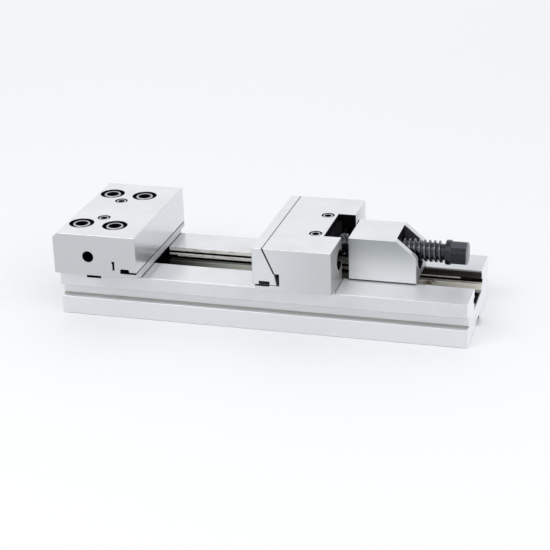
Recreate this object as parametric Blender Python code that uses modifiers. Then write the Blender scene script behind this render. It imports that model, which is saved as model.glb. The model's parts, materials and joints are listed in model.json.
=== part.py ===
"""Modular machine vise, 150 mm wide, with a 200 mm opening.

Metres, +Z up. X runs along the vise, from the fixed jaw towards the spindle's hexagon. The origin is the
centre of the base's bottom face. The movable jaw is shown at its rest opening.
"""
import math

import bmesh
import bpy
from mathutils import Matrix, Vector

# Clearances
GAP = 0.0003
RUNNING_GAP = 0.0005
OVERSHOOT = 0.005

# Base
BASE_LENGTH = 0.420
BASE_WIDTH = 0.126
BASE_HEIGHT = 0.046
FLANGE_THICKNESS = 0.015
SIDE_GROOVE_HEIGHT = 0.012
SIDE_GROOVE_DEPTH = 0.007
CHANNEL_WIDTH = 0.046
CHANNEL_DEPTH = 0.0235
OIL_GROOVE_TOP = 0.0045
OIL_GROOVE_HEIGHT = 0.0022
OIL_GROOVE_DEPTH = 0.0015
LIP_THICKNESS = 0.0090
TEE_WIDTH = 0.057
TEE_HEIGHT = 0.0063
KEYWAY_WIDTH = 0.018
KEYWAY_DEPTH = 0.005
END_KEYWAY_LENGTH = 0.080
KEY_BOLT_RADIUS = 0.003
KEY_BOLT_DEPTH = 0.012
EDGE_BREAK = 0.0004

# Racks under the channel's lips
RACK_START = 0.097
RACK_END_MARGIN = 0.004
RACK_THICKNESS = 0.0020
TOOTH_PITCH = 0.005
TOOTH_HEIGHT = 0.0012
TOOTH_CREST = 0.0012

# Jaws: heights are measured up from the base's top face
JAW_WIDTH = 0.150
JAW_RISE = 0.047
OVERHANG_RISE = 0.0036
FIXED_JAW_LENGTH = 0.088
FIXED_JAW_CHAMFER = 0.005
LEDGE_RISE = 0.0084
FACE_SLIT_HEIGHT = 0.0008
FACE_SLIT_DEPTH = 0.0100
FACE_POCKET_DEPTH = 0.0165
FACE_POCKET_HEIGHT = 0.0040
REST_OPENING = 0.1212

# Fixed jaw's screws, cross key, work stop holes and side slits
FIXED_SCREW_X = (0.020, 0.056)
FIXED_SCREW_INSET = 0.031
CROSS_KEY_X = 0.037
CROSS_KEY_WIDTH = 0.015
CROSS_KEY_LENGTH = 0.104
CROSS_KEY_DEPTH = 0.0041
CROSS_KEY_RISE = 0.0060
KEY_SCREW_INSET = 0.050
STOP_HOLE_X = 0.037
STOP_HOLE_RISE = 0.0235
STOP_HOLE_RADIUS = 0.006
STOP_HOLE_DEPTH = 0.020
SIDE_SLIT_X = 0.0637
SIDE_SLIT_WIDTH = 0.0013
SIDE_SLIT_DEPTH = 0.0020
SIDE_SLIT_START = 0.0107
SIDE_SLIT_END = 0.0199

# Movable jaw
MOVABLE_JAW_LENGTH = 0.0796
PLATE_TOP_THICKNESS = 0.0105
WEDGE_ANGLE = math.radians(24)
PLATE_TRAVEL = 0.0006
TOE_SETBACK = 0.0020
TOE_RISE = 0.0080
PLATE_BOTTOM_RISE = 0.0088
PLATE_FOOT_LENGTH = 0.0244
PLATE_LIP = 0.0066
PLATE_NOTCH_LENGTH = 0.0105
PLATE_NOTCH_RISE = 0.0125
RELIEF_LENGTH = 0.0270
RELIEF_RISE = 0.0208
REAR_NOTCH_LENGTH = 0.018
REAR_NOTCH_WIDTH = 0.063
REAR_RECESS_RADIUS = 0.0105
REAR_RECESS_DEPTH = 0.012
REAR_RECESS_OVERLAP = 0.0015
GUIDE_START = 0.0130
GUIDE_LENGTH = 0.0470
GUIDE_PLATE_WIDTH = 0.068
GUIDE_PLATE_RISE = 0.0080
GUIDE_HOLE_FLOOR = 0.0012
GUIDE_SCREW_SETBACK = 0.0520
GUIDE_SCREW_INSET = 0.0085
PLATE_SCREW_INSET = 0.025
PLATE_SCREW_RISE = 0.029
PLATE_SCREW_RECESS = 0.0120
PLATE_HEAD_SETBACK = 0.0008
PLATE_SCREW_CLEARANCE = 0.0012
SPRING_THICKNESS = 0.0016
SPRING_RADIUS = 0.0085

# Tee blocks that run in the channel
TEE_FLANGE_THICKNESS = 0.0033
TEE_FLOOR_GAP = 0.0015

# Nut block
JAW_TO_NUT = 0.0056
NUT_LENGTH = 0.068
NUT_WIDTH = 0.053
NUT_RISE = 0.045
NUT_LIFT = 0.0010
NUT_CHAMFER_LENGTH = 0.0203
NUT_CHAMFER_HEIGHT = 0.0172
NUT_POCKET_LENGTH = 0.0205
NUT_POCKET_RADIUS = 0.0185
NUT_FOOT_START = 0.006
NUT_FOOT_LENGTH = 0.045
NUT_SCREW_INSET = 0.009

# Spindle: stations run from the tip of the nose towards the hexagon
SPINDLE_RISE = 0.027
NOSE_RADIUS = 0.007
NOSE_TO_NOTCH = 0.022
NOSE_STEM_RADIUS = 0.008
NOSE_FLANGE_START = 0.013
NOSE_FLANGE_LENGTH = 0.005
NOSE_FLANGE_RADIUS = 0.0105
THREAD_START = 0.030
THREAD_LENGTH = 0.100
THREAD_PITCH = 0.005
THREAD_RADIUS = 0.011
THREAD_ROOT_RADIUS = 0.0085
THREAD_CREST = 0.0018
THREAD_FLANK = math.radians(15)
THREAD_TURN = math.radians(4)
SHANK_OVERLAP = 0.0011
NECK_LENGTH = 0.0088
NECK_RADIUS = 0.008
COLLAR_LENGTH = 0.0052
COLLAR_RADIUS = 0.0125
HEX_LENGTH = 0.0165
HEX_ACROSS_FLATS = 0.022
HEX_RELIEF = 0.0005
HEX_RELIEF_RADIUS = 0.0100
HEX_TURN = math.radians(10)

# Thrust cup and nose retainer
CUP_LENGTH = 0.010
CUP_RADIUS = 0.0102
RETAINER_THICKNESS = 0.005
RETAINER_WIDTH = 0.050
RETAINER_HEIGHT = 0.030
RETAINER_SCREW_INSET = 0.007

# Round work
SIDES = 24
SMALL_SIDES = 16
THREAD_SIDES = 18
BALL_STEPS = 6
MERGE = 0.00001

# Places that follow from the sizes above
BASE_LEFT = -BASE_LENGTH / 2
BASE_RIGHT = BASE_LENGTH / 2
JAW_TOP = BASE_HEIGHT + JAW_RISE
JAW_BOTTOM = BASE_HEIGHT + GAP
OVERHANG = BASE_HEIGHT + OVERHANG_RISE
FIXED_FACE = BASE_LEFT + FIXED_JAW_LENGTH
MOVABLE_FACE = FIXED_FACE + REST_OPENING
MOVABLE_REAR = MOVABLE_FACE + MOVABLE_JAW_LENGTH
NOTCH_WALL = MOVABLE_REAR - REAR_NOTCH_LENGTH
NUT_FRONT = MOVABLE_REAR + JAW_TO_NUT
NUT_REAR = NUT_FRONT + NUT_LENGTH
NUT_BOTTOM = BASE_HEIGHT + NUT_LIFT
NUT_TOP = BASE_HEIGHT + NUT_RISE
TEE_ROOF = BASE_HEIGHT - LIP_THICKNESS
TEE_FLOOR = TEE_ROOF - TEE_HEIGHT
TEE_FLANGE_TOP = TEE_FLOOR + GAP + TEE_FLANGE_THICKNESS
CHANNEL_FLOOR = BASE_HEIGHT - CHANNEL_DEPTH
AXIS_HEIGHT = BASE_HEIGHT + SPINDLE_RISE
NOSE_TIP = NOTCH_WALL - NOSE_TO_NOTCH
FIXED_SCREW_Y = JAW_WIDTH / 2 - FIXED_SCREW_INSET
KEY_SCREW_Y = JAW_WIDTH / 2 - KEY_SCREW_INSET
PLATE_SCREW_Y = JAW_WIDTH / 2 - PLATE_SCREW_INSET
GUIDE_SCREW_Y = GUIDE_PLATE_WIDTH / 2 - GUIDE_SCREW_INSET
RETAINER_SCREW_Y = RETAINER_WIDTH / 2 - RETAINER_SCREW_INSET

ALONG_X = Matrix(((0, 0, 1), (1, 0, 0), (0, 1, 0))).to_4x4()
ALONG_Y = Matrix(((1, 0, 0), (0, 0, -1), (0, 1, 0))).to_4x4()
ALONG_Z = Matrix.Identity(4)
FACING_MINUS_X = Matrix(((0, 0, -1), (-1, 0, 0), (0, 1, 0))).to_4x4()
FACING_MINUS_Z = Matrix.Rotation(math.pi, 4, "X")
FACING_PLUS_Y = Matrix.Rotation(-math.pi / 2, 4, "X")


class ScrewSize:
    """Sizes of one socket head cap screw."""

    def __init__(self, shank, head, head_height, across_flats, socket_depth):
        self.shank = shank
        self.head = head
        self.head_height = head_height
        self.across_flats = across_flats
        self.socket_depth = socket_depth


M12 = ScrewSize(0.0060, 0.0090, 0.0120, 0.010, 0.006)
M10 = ScrewSize(0.0050, 0.0080, 0.0090, 0.008, 0.005)
M8 = ScrewSize(0.0040, 0.0065, 0.0080, 0.006, 0.004)
M5 = ScrewSize(0.0025, 0.00425, 0.0050, 0.004, 0.0025)
M12_COUNTERBORE = 0.0130
M12_HEAD_DEPTH = 0.0005
M12_LENGTH = 0.050
M8_TOP_DEPTH = 0.0005
NUT_SCREW_LENGTH = 0.025
RETAINER_SCREW_LENGTH = 0.014
PLATE_SCREW_LENGTH = 0.035
SCREW_CHAMFER = 0.0005


def clear_scene():
    """Remove every object of the scene."""
    for item in list(bpy.data.objects):
        bpy.data.objects.remove(item, do_unlink=True)


def new_collection(name):
    """Make a collection and link it to the scene."""
    collection = bpy.data.collections.new(name)
    bpy.context.scene.collection.children.link(collection)
    return collection


def new_material(name, colour, roughness, metallic):
    """Make a Principled material with one plain finish."""
    material = bpy.data.materials.new(name)
    material.use_nodes = True
    shader = material.node_tree.nodes["Principled BSDF"]
    shader.inputs["Base Color"].default_value = (*colour, 1)
    shader.inputs["Roughness"].default_value = roughness
    shader.inputs["Metallic"].default_value = metallic
    return material


clear_scene()
PARTS = new_collection("modular_machine_vise")
CUTTERS = new_collection("cutters")
SMOOTHING = bpy.data.node_groups.new("smooth_by_angle", "GeometryNodeTree")


def fill_smoothing_group():
    """Build the nodes that shade a mesh smooth up to a 30 degree edge."""
    group = SMOOTHING
    group.interface.new_socket("Geometry", in_out="INPUT", socket_type="NodeSocketGeometry")
    group.interface.new_socket("Geometry", in_out="OUTPUT", socket_type="NodeSocketGeometry")
    group_in = group.nodes.new("NodeGroupInput")
    group_out = group.nodes.new("NodeGroupOutput")
    faces = group.nodes.new("GeometryNodeSetShadeSmooth")
    faces.domain = "FACE"
    edges = group.nodes.new("GeometryNodeSetShadeSmooth")
    edges.domain = "EDGE"
    edges.inputs["Shade Smooth"].default_value = False
    angle = group.nodes.new("GeometryNodeInputMeshEdgeAngle")
    compare = group.nodes.new("FunctionNodeCompare")
    compare.operation = "GREATER_THAN"
    compare.inputs["B"].default_value = math.radians(30)
    group.links.new(group_in.outputs["Geometry"], faces.inputs["Geometry"])
    group.links.new(faces.outputs["Geometry"], edges.inputs["Geometry"])
    group.links.new(angle.outputs["Unsigned Angle"], compare.inputs["A"])
    group.links.new(compare.outputs["Result"], edges.inputs["Selection"])
    group.links.new(edges.outputs["Geometry"], group_out.inputs["Geometry"])


fill_smoothing_group()


def new_object(name, mesh, collection, matrix):
    """Link a mesh as an object with a place."""
    item = bpy.data.objects.new(name, mesh)
    collection.objects.link(item)
    item.matrix_world = matrix
    if collection is CUTTERS:
        item.hide_render = True
        item.display_type = "WIRE"
    return item


def at(x, y, z, turn=ALONG_Z):
    """Give a placing matrix: a turn, then a move."""
    return Matrix.Translation((x, y, z)) @ turn


def mesh_from(item, close=None):
    """Read an object as its modifiers leave it, weld it, and close it with a function where one is given."""
    bpy.context.view_layer.update()
    graph = bpy.context.evaluated_depsgraph_get()
    mesh = bpy.data.meshes.new_from_object(item.evaluated_get(graph))
    work = bmesh.new()
    work.from_mesh(mesh)
    bmesh.ops.remove_doubles(work, verts=work.verts, dist=MERGE)
    if close:
        close(work)
    bmesh.ops.recalc_face_normals(work, faces=work.faces)
    work.to_mesh(mesh)
    work.free()
    return mesh


def close_flat_ends(work):
    """Close each open end with one face."""
    bmesh.ops.holes_fill(work, edges=work.edges)


def prism(name, outline, depth, collection, matrix):
    """Extrude a flat outline by half its depth to each side."""
    curve = bpy.data.curves.new(name, "CURVE")
    curve.dimensions = "2D"
    curve.fill_mode = "NONE"
    curve.extrude = depth / 2
    spline = curve.splines.new("POLY")
    spline.points.add(len(outline) - 1)
    for point, (across, up) in zip(spline.points, outline):
        point.co = (across, up, 0, 1)
    spline.use_cyclic_u = True
    flat = bpy.data.objects.new(name + "_outline", curve)
    collection.objects.link(flat)
    mesh = mesh_from(flat, close_flat_ends)
    mesh.name = name
    bpy.data.objects.remove(flat, do_unlink=True)
    return new_object(name, mesh, collection, matrix)


def block(name, low, high, collection):
    """Make a box between two corners, with its origin in its middle."""
    low = Vector(low)
    high = Vector(high)
    mesh = bpy.data.meshes.new(name)
    work = bmesh.new()
    bmesh.ops.create_cube(work, size=1)
    bmesh.ops.scale(work, vec=high - low, verts=work.verts)
    work.to_mesh(mesh)
    work.free()
    middle = (low + high) / 2
    return new_object(name, mesh, collection, Matrix.Translation(middle))


def turned(name, profile, collection, matrix, sides=SIDES, closed=False):
    """Turn a profile of (radius, height) points, listed down its outer side, about local Z."""
    mesh = bpy.data.meshes.new(name)
    work = bmesh.new()
    points = [work.verts.new((radius, 0, height)) for radius, height in profile]
    for first, second in zip(points, points[1:]):
        work.edges.new((first, second))
    if closed:
        work.edges.new((points[-1], points[0]))
    work.to_mesh(mesh)
    work.free()
    item = new_object(name, mesh, collection, matrix)
    turn = item.modifiers.new("turn", "SCREW")
    turn.axis = "Z"
    turn.steps = sides
    turn.render_steps = sides
    turn.use_merge_vertices = True
    turn.merge_threshold = MERGE
    return item


def hexagon(name, across_flats, bottom, top, collection, matrix):
    """Make a six-sided prism on local Z."""
    mesh = bpy.data.meshes.new(name)
    work = bmesh.new()
    corner = across_flats / math.sqrt(3)
    bmesh.ops.create_cone(work, cap_ends=True, segments=6, radius1=corner, radius2=corner, depth=top - bottom)
    bmesh.ops.translate(work, vec=(0, 0, (top + bottom) / 2), verts=work.verts)
    work.to_mesh(mesh)
    work.free()
    return new_object(name, mesh, collection, matrix)


def combine(item, tool, operation):
    """Add a Boolean of one object with another."""
    boolean = item.modifiers.new(tool.name, "BOOLEAN")
    boolean.operation = operation
    boolean.solver = "EXACT"
    boolean.object = tool


def cut(item, tools):
    """Cut each tool out of an object."""
    for tool in tools:
        combine(item, tool, "DIFFERENCE")


def break_edges(item, width=EDGE_BREAK):
    """Chamfer an object's sharp edges."""
    bevel = item.modifiers.new("edge_break", "BEVEL")
    bevel.width = width
    bevel.segments = 1
    bevel.limit_method = "ANGLE"


def bore(name, steps, matrix, sides=SIDES):
    """Make a cutter for a stepped hole. Its mouth is at local Z = 0 and the steps go down.

    Each step is a radius and the depth that it reaches.
    """
    profile = [(0, OVERSHOOT)]
    height = OVERSHOOT
    for radius, depth in steps:
        profile.append((radius, height))
        profile.append((radius, -depth))
        height = -depth
    profile.append((0, height))
    return turned(name, profile, CUTTERS, matrix, sides)


def cap_screw_mesh(name, size, length, sides=SMALL_SIDES):
    """Make the mesh of a socket head cap screw, with local Z = 0 under its head."""
    top = size.head_height
    chamfer = SCREW_CHAMFER
    profile = [
        (0, top), (size.head - chamfer, top), (size.head, top - chamfer), (size.head, 0), (size.shank, 0),
        (size.shank, chamfer - length), (size.shank - chamfer, -length), (0, -length),
    ]
    blank = turned(name + "_blank", profile, CUTTERS, ALONG_Z, sides)
    socket = hexagon(name + "_socket", size.across_flats, top - size.socket_depth, top + OVERSHOOT,
                     CUTTERS, ALONG_Z)
    combine(blank, socket, "DIFFERENCE")
    mesh = mesh_from(blank)
    mesh.name = name
    bpy.data.objects.remove(blank, do_unlink=True)
    bpy.data.objects.remove(socket, do_unlink=True)
    return mesh


def screws(name, mesh, places):
    """Place a row of screws that share a mesh."""
    return [new_object(f"{name}_{number}", mesh, PARTS, place) for number, place in enumerate(places, 1)]


def channel_side():
    """List one side of the base's outline, from the bottom over the top to the channel's floor."""
    half = BASE_WIDTH / 2
    flange_bottom = BASE_HEIGHT - FLANGE_THICKNESS
    ledge = flange_bottom - SIDE_GROOVE_HEIGHT
    lip = CHANNEL_WIDTH / 2
    oil_top = BASE_HEIGHT - OIL_GROOVE_TOP
    oil_bottom = oil_top - OIL_GROOVE_HEIGHT
    oil = lip + OIL_GROOVE_DEPTH
    tee = TEE_WIDTH / 2
    return [
        (half, 0), (half, ledge), (half - SIDE_GROOVE_DEPTH, ledge), (half - SIDE_GROOVE_DEPTH, flange_bottom),
        (half, flange_bottom), (half, BASE_HEIGHT), (lip, BASE_HEIGHT), (lip, oil_top), (oil, oil_top),
        (oil, oil_bottom), (lip, oil_bottom), (lip, TEE_ROOF), (tee, TEE_ROOF), (tee, TEE_FLOOR),
        (lip, TEE_FLOOR), (lip, CHANNEL_FLOOR),
    ]


def both_sides(side):
    """Close an outline with the mirror of its one side."""
    return side + [(-across, up) for across, up in reversed(side)]


def fixed_screw_places():
    """List the four places of the fixed jaw's screws, as (x, y)."""
    return [(BASE_LEFT + x, y) for y in (-FIXED_SCREW_Y, FIXED_SCREW_Y) for x in FIXED_SCREW_X]


def build_base():
    """Make the base: a rail with a tee channel, side grooves for clamps, and a keyway below each end."""
    base = prism("base", both_sides(channel_side()), BASE_LENGTH, PARTS, at(0, 0, 0, ALONG_X))
    break_edges(base)
    half_key = KEYWAY_WIDTH / 2
    reach = BASE_RIGHT + OVERSHOOT
    inner = BASE_RIGHT - END_KEYWAY_LENGTH
    side = BASE_WIDTH / 2 + OVERSHOOT
    tools = []
    for number, way in enumerate((-1, 1), 1):
        ends = sorted((way * inner, way * reach))
        tools.append(block(f"end_keyway_{number}", (ends[0], -half_key, -OVERSHOOT),
                           (ends[1], half_key, KEYWAY_DEPTH), CUTTERS))
        bolt_x = way * (BASE_RIGHT - END_KEYWAY_LENGTH / 2)
        tools.append(bore(f"key_bolt_hole_{number}", [(KEY_BOLT_RADIUS, KEY_BOLT_DEPTH)],
                          at(bolt_x, 0, KEYWAY_DEPTH, FACING_MINUS_Z), SMALL_SIDES))
    key = BASE_LEFT + CROSS_KEY_X
    half_slot = CROSS_KEY_WIDTH / 2 + GAP
    tools.append(block("cross_key_slot", (key - half_slot, -side, BASE_HEIGHT - CROSS_KEY_DEPTH - GAP),
                       (key + half_slot, side, BASE_HEIGHT + OVERSHOOT), CUTTERS))
    hole_depth = BASE_HEIGHT - (m12_seat() - M12_LENGTH) + GAP
    for number, (x, y) in enumerate(fixed_screw_places(), 1):
        tools.append(bore(f"base_screw_hole_{number}", [(M12.shank + GAP, hole_depth)], at(x, y, BASE_HEIGHT)))
    cut(base, tools)
    return base


def tooth_line(start, count, root, crest_height):
    """List the points of a row of teeth, from left to right."""
    flank = (TOOTH_PITCH - 2 * TOOTH_CREST) / 2
    points = []
    for tooth in range(count):
        x = start + tooth * TOOTH_PITCH
        points += [(x, root), (x + flank, crest_height), (x + flank + TOOTH_CREST, crest_height),
                   (x + 2 * flank + TOOTH_CREST, root)]
    return points


def build_racks():
    """Make the two toothed strips that hang under the channel's lips."""
    start = BASE_LEFT + RACK_START
    count = int((BASE_RIGHT - RACK_END_MARGIN - start) / TOOTH_PITCH)
    top = TEE_ROOF - GAP
    tip = top - RACK_THICKNESS
    end = start + count * TOOTH_PITCH
    outline = [(start, top)] + tooth_line(start, count, tip + TOOTH_HEIGHT, tip) + [(end, top)]
    inner = CHANNEL_WIDTH / 2 + GAP
    outer = TEE_WIDTH / 2 - GAP
    middle = (inner + outer) / 2
    return [
        prism("rack_front", outline, outer - inner, PARTS, at(0, -middle, 0, ALONG_Y)),
        prism("rack_rear", outline, outer - inner, PARTS, at(0, middle, 0, ALONG_Y)),
    ]


def jaw_rebates(name, start, end):
    """Make the two cutters that narrow a jaw's foot to the base's width."""
    inner = BASE_WIDTH / 2
    outer = JAW_WIDTH / 2 + OVERSHOOT
    low = JAW_BOTTOM - OVERSHOOT
    return [
        block(f"{name}_rebate_1", (start - OVERSHOOT, -outer, low), (end + OVERSHOOT, -inner, OVERHANG), CUTTERS),
        block(f"{name}_rebate_2", (start - OVERSHOOT, inner, low), (end + OVERSHOOT, outer, OVERHANG), CUTTERS),
    ]


def m12_seat():
    """Give the height under the heads of the fixed jaw's screws."""
    return JAW_TOP - M12_HEAD_DEPTH - M12.head_height


def m8_seat():
    """Give the height under the heads of the screws that hold the key and the guide."""
    return JAW_TOP - M8_TOP_DEPTH - M8.head_height


def m8_steps():
    """Give the stepped hole, from a jaw's top down, of a screw that holds the key or the guide."""
    head_depth = JAW_TOP - m8_seat() + GAP
    return [(M8.head + GAP, head_depth), (M8.shank + GAP, JAW_RISE + OVERSHOOT)]


def fixed_jaw_outline():
    """List the fixed jaw's side outline, with its ledge, slit and relief pocket."""
    ledge = BASE_HEIGHT + LEDGE_RISE
    slit_top = ledge + FACE_SLIT_HEIGHT
    slit_end = FIXED_FACE - FACE_SLIT_DEPTH + 2 * FACE_SLIT_HEIGHT
    pocket_end = FIXED_FACE - FACE_POCKET_DEPTH
    pocket_top = ledge + FACE_POCKET_HEIGHT
    return [
        (BASE_LEFT, JAW_BOTTOM), (FIXED_FACE, JAW_BOTTOM), (FIXED_FACE, ledge), (pocket_end, ledge),
        (pocket_end, pocket_top), (slit_end, pocket_top), (slit_end, slit_top), (FIXED_FACE, slit_top),
        (FIXED_FACE, JAW_TOP), (BASE_LEFT + FIXED_JAW_CHAMFER, JAW_TOP),
        (BASE_LEFT, JAW_TOP - FIXED_JAW_CHAMFER),
    ]


def build_fixed_jaw():
    """Make the fixed jaw with its screw holes, key slot, work stop holes and side slits."""
    jaw = prism("fixed_jaw", fixed_jaw_outline(), JAW_WIDTH, PARTS, at(0, 0, 0, ALONG_Y))
    break_edges(jaw)
    tools = jaw_rebates("fixed_jaw", BASE_LEFT, FIXED_FACE)
    key = BASE_LEFT + CROSS_KEY_X
    half_slot = CROSS_KEY_WIDTH / 2 + GAP
    half_length = CROSS_KEY_LENGTH / 2 + GAP
    tools.append(block("jaw_key_slot", (key - half_slot, -half_length, JAW_BOTTOM - OVERSHOOT),
                       (key + half_slot, half_length, BASE_HEIGHT + CROSS_KEY_RISE + GAP), CUTTERS))
    head_depth = JAW_TOP - m12_seat() + GAP
    steps = [(M12_COUNTERBORE, head_depth), (M12.shank + GAP, JAW_RISE + OVERSHOOT)]
    for number, (x, y) in enumerate(fixed_screw_places(), 1):
        tools.append(bore(f"fixed_jaw_hole_{number}", steps, at(x, y, JAW_TOP)))
    for number, y in enumerate((-KEY_SCREW_Y, KEY_SCREW_Y), 1):
        tools.append(bore(f"key_screw_hole_{number}", m8_steps(), at(key, y, JAW_TOP), SMALL_SIDES))
    stop = BASE_LEFT + STOP_HOLE_X
    rise = BASE_HEIGHT + STOP_HOLE_RISE
    steps = [(STOP_HOLE_RADIUS, STOP_HOLE_DEPTH)]
    tools.append(bore("stop_hole_front", steps, at(stop, -JAW_WIDTH / 2, rise, ALONG_Y)))
    tools.append(bore("stop_hole_rear", steps, at(stop, JAW_WIDTH / 2, rise, FACING_PLUS_Y)))
    slit = BASE_LEFT + SIDE_SLIT_X
    for number, way in enumerate((-1, 1), 1):
        ends = sorted((way * (JAW_WIDTH / 2 - SIDE_SLIT_DEPTH), way * (JAW_WIDTH / 2 + OVERSHOOT)))
        tools.append(block(f"side_slit_{number}", (slit, ends[0], BASE_HEIGHT + SIDE_SLIT_START),
                           (slit + SIDE_SLIT_WIDTH, ends[1], BASE_HEIGHT + SIDE_SLIT_END), CUTTERS))
    cut(jaw, tools)
    return jaw


def build_cross_key():
    """Make the key that takes the clamping thrust between the fixed jaw and the base."""
    middle = BASE_LEFT + CROSS_KEY_X
    half_width = CROSS_KEY_WIDTH / 2
    half_length = CROSS_KEY_LENGTH / 2
    top = BASE_HEIGHT + CROSS_KEY_RISE
    key = block("fixed_jaw_key", (middle - half_width, -half_length, BASE_HEIGHT - CROSS_KEY_DEPTH),
                (middle + half_width, half_length, top), PARTS)
    tools = []
    for number, y in enumerate((-KEY_SCREW_Y, KEY_SCREW_Y), 1):
        steps = [(M8.shank + GAP, CROSS_KEY_RISE + CROSS_KEY_DEPTH + OVERSHOOT)]
        tools.append(bore(f"key_tapping_{number}", steps, at(middle, y, top), SMALL_SIDES))
    cut(key, tools)
    return key


def build_fixed_jaw_screws():
    """Make the four jaw screws and the two key screws."""
    seat = m12_seat()
    jaw_screws = screws("fixed_jaw_screw", cap_screw_mesh("fixed_jaw_screw", M12, M12_LENGTH, SIDES),
                        [at(x, y, seat) for x, y in fixed_screw_places()])
    seat = m8_seat()
    length = seat - (BASE_HEIGHT - CROSS_KEY_DEPTH + GAP)
    key_screws = screws("key_screw", cap_screw_mesh("key_screw", M8, length),
                        [at(BASE_LEFT + CROSS_KEY_X, y, seat) for y in (-KEY_SCREW_Y, KEY_SCREW_Y)])
    return jaw_screws + key_screws


def wedge_x(height):
    """Give the X of the movable jaw's slanted seat at a height."""
    return MOVABLE_FACE + PLATE_TOP_THICKNESS + (JAW_TOP - height) * math.tan(WEDGE_ANGLE)


def jaw_body_outline():
    """List the movable jaw body's side outline: slanted seat, relief slot, toe and rear."""
    relief_top = BASE_HEIGHT + RELIEF_RISE
    relief_end = MOVABLE_FACE + RELIEF_LENGTH
    toe = MOVABLE_FACE + TOE_SETBACK
    toe_top = BASE_HEIGHT + TOE_RISE
    return [
        (wedge_x(JAW_TOP), JAW_TOP), (wedge_x(relief_top), relief_top), (relief_end, relief_top),
        (relief_end, toe_top), (toe, toe_top), (toe, JAW_BOTTOM), (MOVABLE_REAR, JAW_BOTTOM),
        (MOVABLE_REAR, JAW_TOP),
    ]


def guide_screw_places():
    """List the two places of the screws that hold the guide, as (x, y)."""
    x = MOVABLE_FACE + GUIDE_SCREW_SETBACK
    return [(x, -GUIDE_SCREW_Y), (x, GUIDE_SCREW_Y)]


def plate_screw_tip():
    """Give the X where the jaw plate's screws end."""
    return MOVABLE_FACE + PLATE_HEAD_SETBACK + M10.head_height + PLATE_SCREW_LENGTH


def build_jaw_body():
    """Make the movable jaw's body, bored for the spindle's nose and notched at the rear."""
    body = prism("jaw_body", jaw_body_outline(), JAW_WIDTH, PARTS, at(0, 0, 0, ALONG_Y))
    break_edges(body)
    tools = jaw_rebates("jaw_body", MOVABLE_FACE, MOVABLE_REAR)
    half_notch = REAR_NOTCH_WIDTH / 2
    tools.append(block("rear_notch", (NOTCH_WALL, -half_notch, JAW_BOTTOM - OVERSHOOT),
                       (MOVABLE_REAR + OVERSHOOT, half_notch, JAW_TOP + OVERSHOOT), CUTTERS))
    recess_y = half_notch + REAR_RECESS_RADIUS - REAR_RECESS_OVERLAP
    for number, y in enumerate((-recess_y, recess_y), 1):
        place = at(MOVABLE_REAR, y, AXIS_HEIGHT, ALONG_X)
        tools.append(bore(f"rear_recess_{number}", [(REAR_RECESS_RADIUS, REAR_RECESS_DEPTH)], place))
    guide_start = MOVABLE_FACE + GUIDE_START
    half_guide = GUIDE_PLATE_WIDTH / 2 + GAP
    tools.append(block("guide_recess", (guide_start - GAP, -half_guide, JAW_BOTTOM - OVERSHOOT),
                       (guide_start + GUIDE_LENGTH + GAP, half_guide, BASE_HEIGHT + GUIDE_PLATE_RISE + GAP),
                       CUTTERS))
    cup_mouth = NOSE_TO_NOTCH - NOSE_FLANGE_START + RUNNING_GAP + GAP
    cup_depth = NOSE_TO_NOTCH - NOSE_RADIUS + CUP_LENGTH + GAP
    steps = [(NOSE_FLANGE_RADIUS + 2 * RUNNING_GAP, cup_mouth), (CUP_RADIUS + GAP, cup_depth)]
    tools.append(bore("nose_bore", steps, at(NOTCH_WALL, 0, AXIS_HEIGHT, ALONG_X)))
    for number, (x, y) in enumerate(guide_screw_places(), 1):
        tools.append(bore(f"guide_screw_hole_{number}", m8_steps(), at(x, y, JAW_TOP), SMALL_SIDES))
    steps = [(M5.shank + GAP, RETAINER_SCREW_LENGTH - RETAINER_THICKNESS + 2 * GAP)]
    for number, y in enumerate((-RETAINER_SCREW_Y, RETAINER_SCREW_Y), 1):
        place = at(NOTCH_WALL, y, AXIS_HEIGHT, ALONG_X)
        tools.append(bore(f"retainer_tapping_{number}", steps, place, SMALL_SIDES))
    steps = [(M10.shank + GAP, plate_screw_tip() - MOVABLE_FACE + GAP)]
    for number, y in enumerate((-PLATE_SCREW_Y, PLATE_SCREW_Y), 1):
        place = at(MOVABLE_FACE, y, BASE_HEIGHT + PLATE_SCREW_RISE, FACING_MINUS_X)
        tools.append(bore(f"plate_tapping_{number}", steps, place, SMALL_SIDES))
    cut(body, tools)
    return body


def tee_side(plate_half, plate_top, flange_top):
    """List one side of a tee block's outline, from its bottom to its top."""
    neck = CHANNEL_WIDTH / 2 - RUNNING_GAP
    flange = TEE_WIDTH / 2 - RUNNING_GAP
    flange_bottom = TEE_FLOOR + GAP
    return [
        (neck, CHANNEL_FLOOR + TEE_FLOOR_GAP), (neck, flange_bottom), (flange, flange_bottom),
        (flange, flange_top), (neck, flange_top), (neck, BASE_HEIGHT + GAP), (plate_half, BASE_HEIGHT + GAP),
        (plate_half, plate_top),
    ]


def build_jaw_guide():
    """Make the guide that keys the movable jaw to the channel and holds it down."""
    start = MOVABLE_FACE + GUIDE_START
    top = BASE_HEIGHT + GUIDE_PLATE_RISE
    outline = both_sides(tee_side(GUIDE_PLATE_WIDTH / 2, top, TEE_FLANGE_TOP))
    guide = prism("jaw_guide", outline, GUIDE_LENGTH, PARTS, at(start + GUIDE_LENGTH / 2, 0, 0, ALONG_X))
    tools = []
    for number, (x, y) in enumerate(guide_screw_places(), 1):
        steps = [(M8.shank + GAP, GUIDE_PLATE_RISE - GUIDE_HOLE_FLOOR)]
        tools.append(bore(f"guide_tapping_{number}", steps, at(x, y, top), SMALL_SIDES))
    cut(guide, tools)
    return guide


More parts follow.
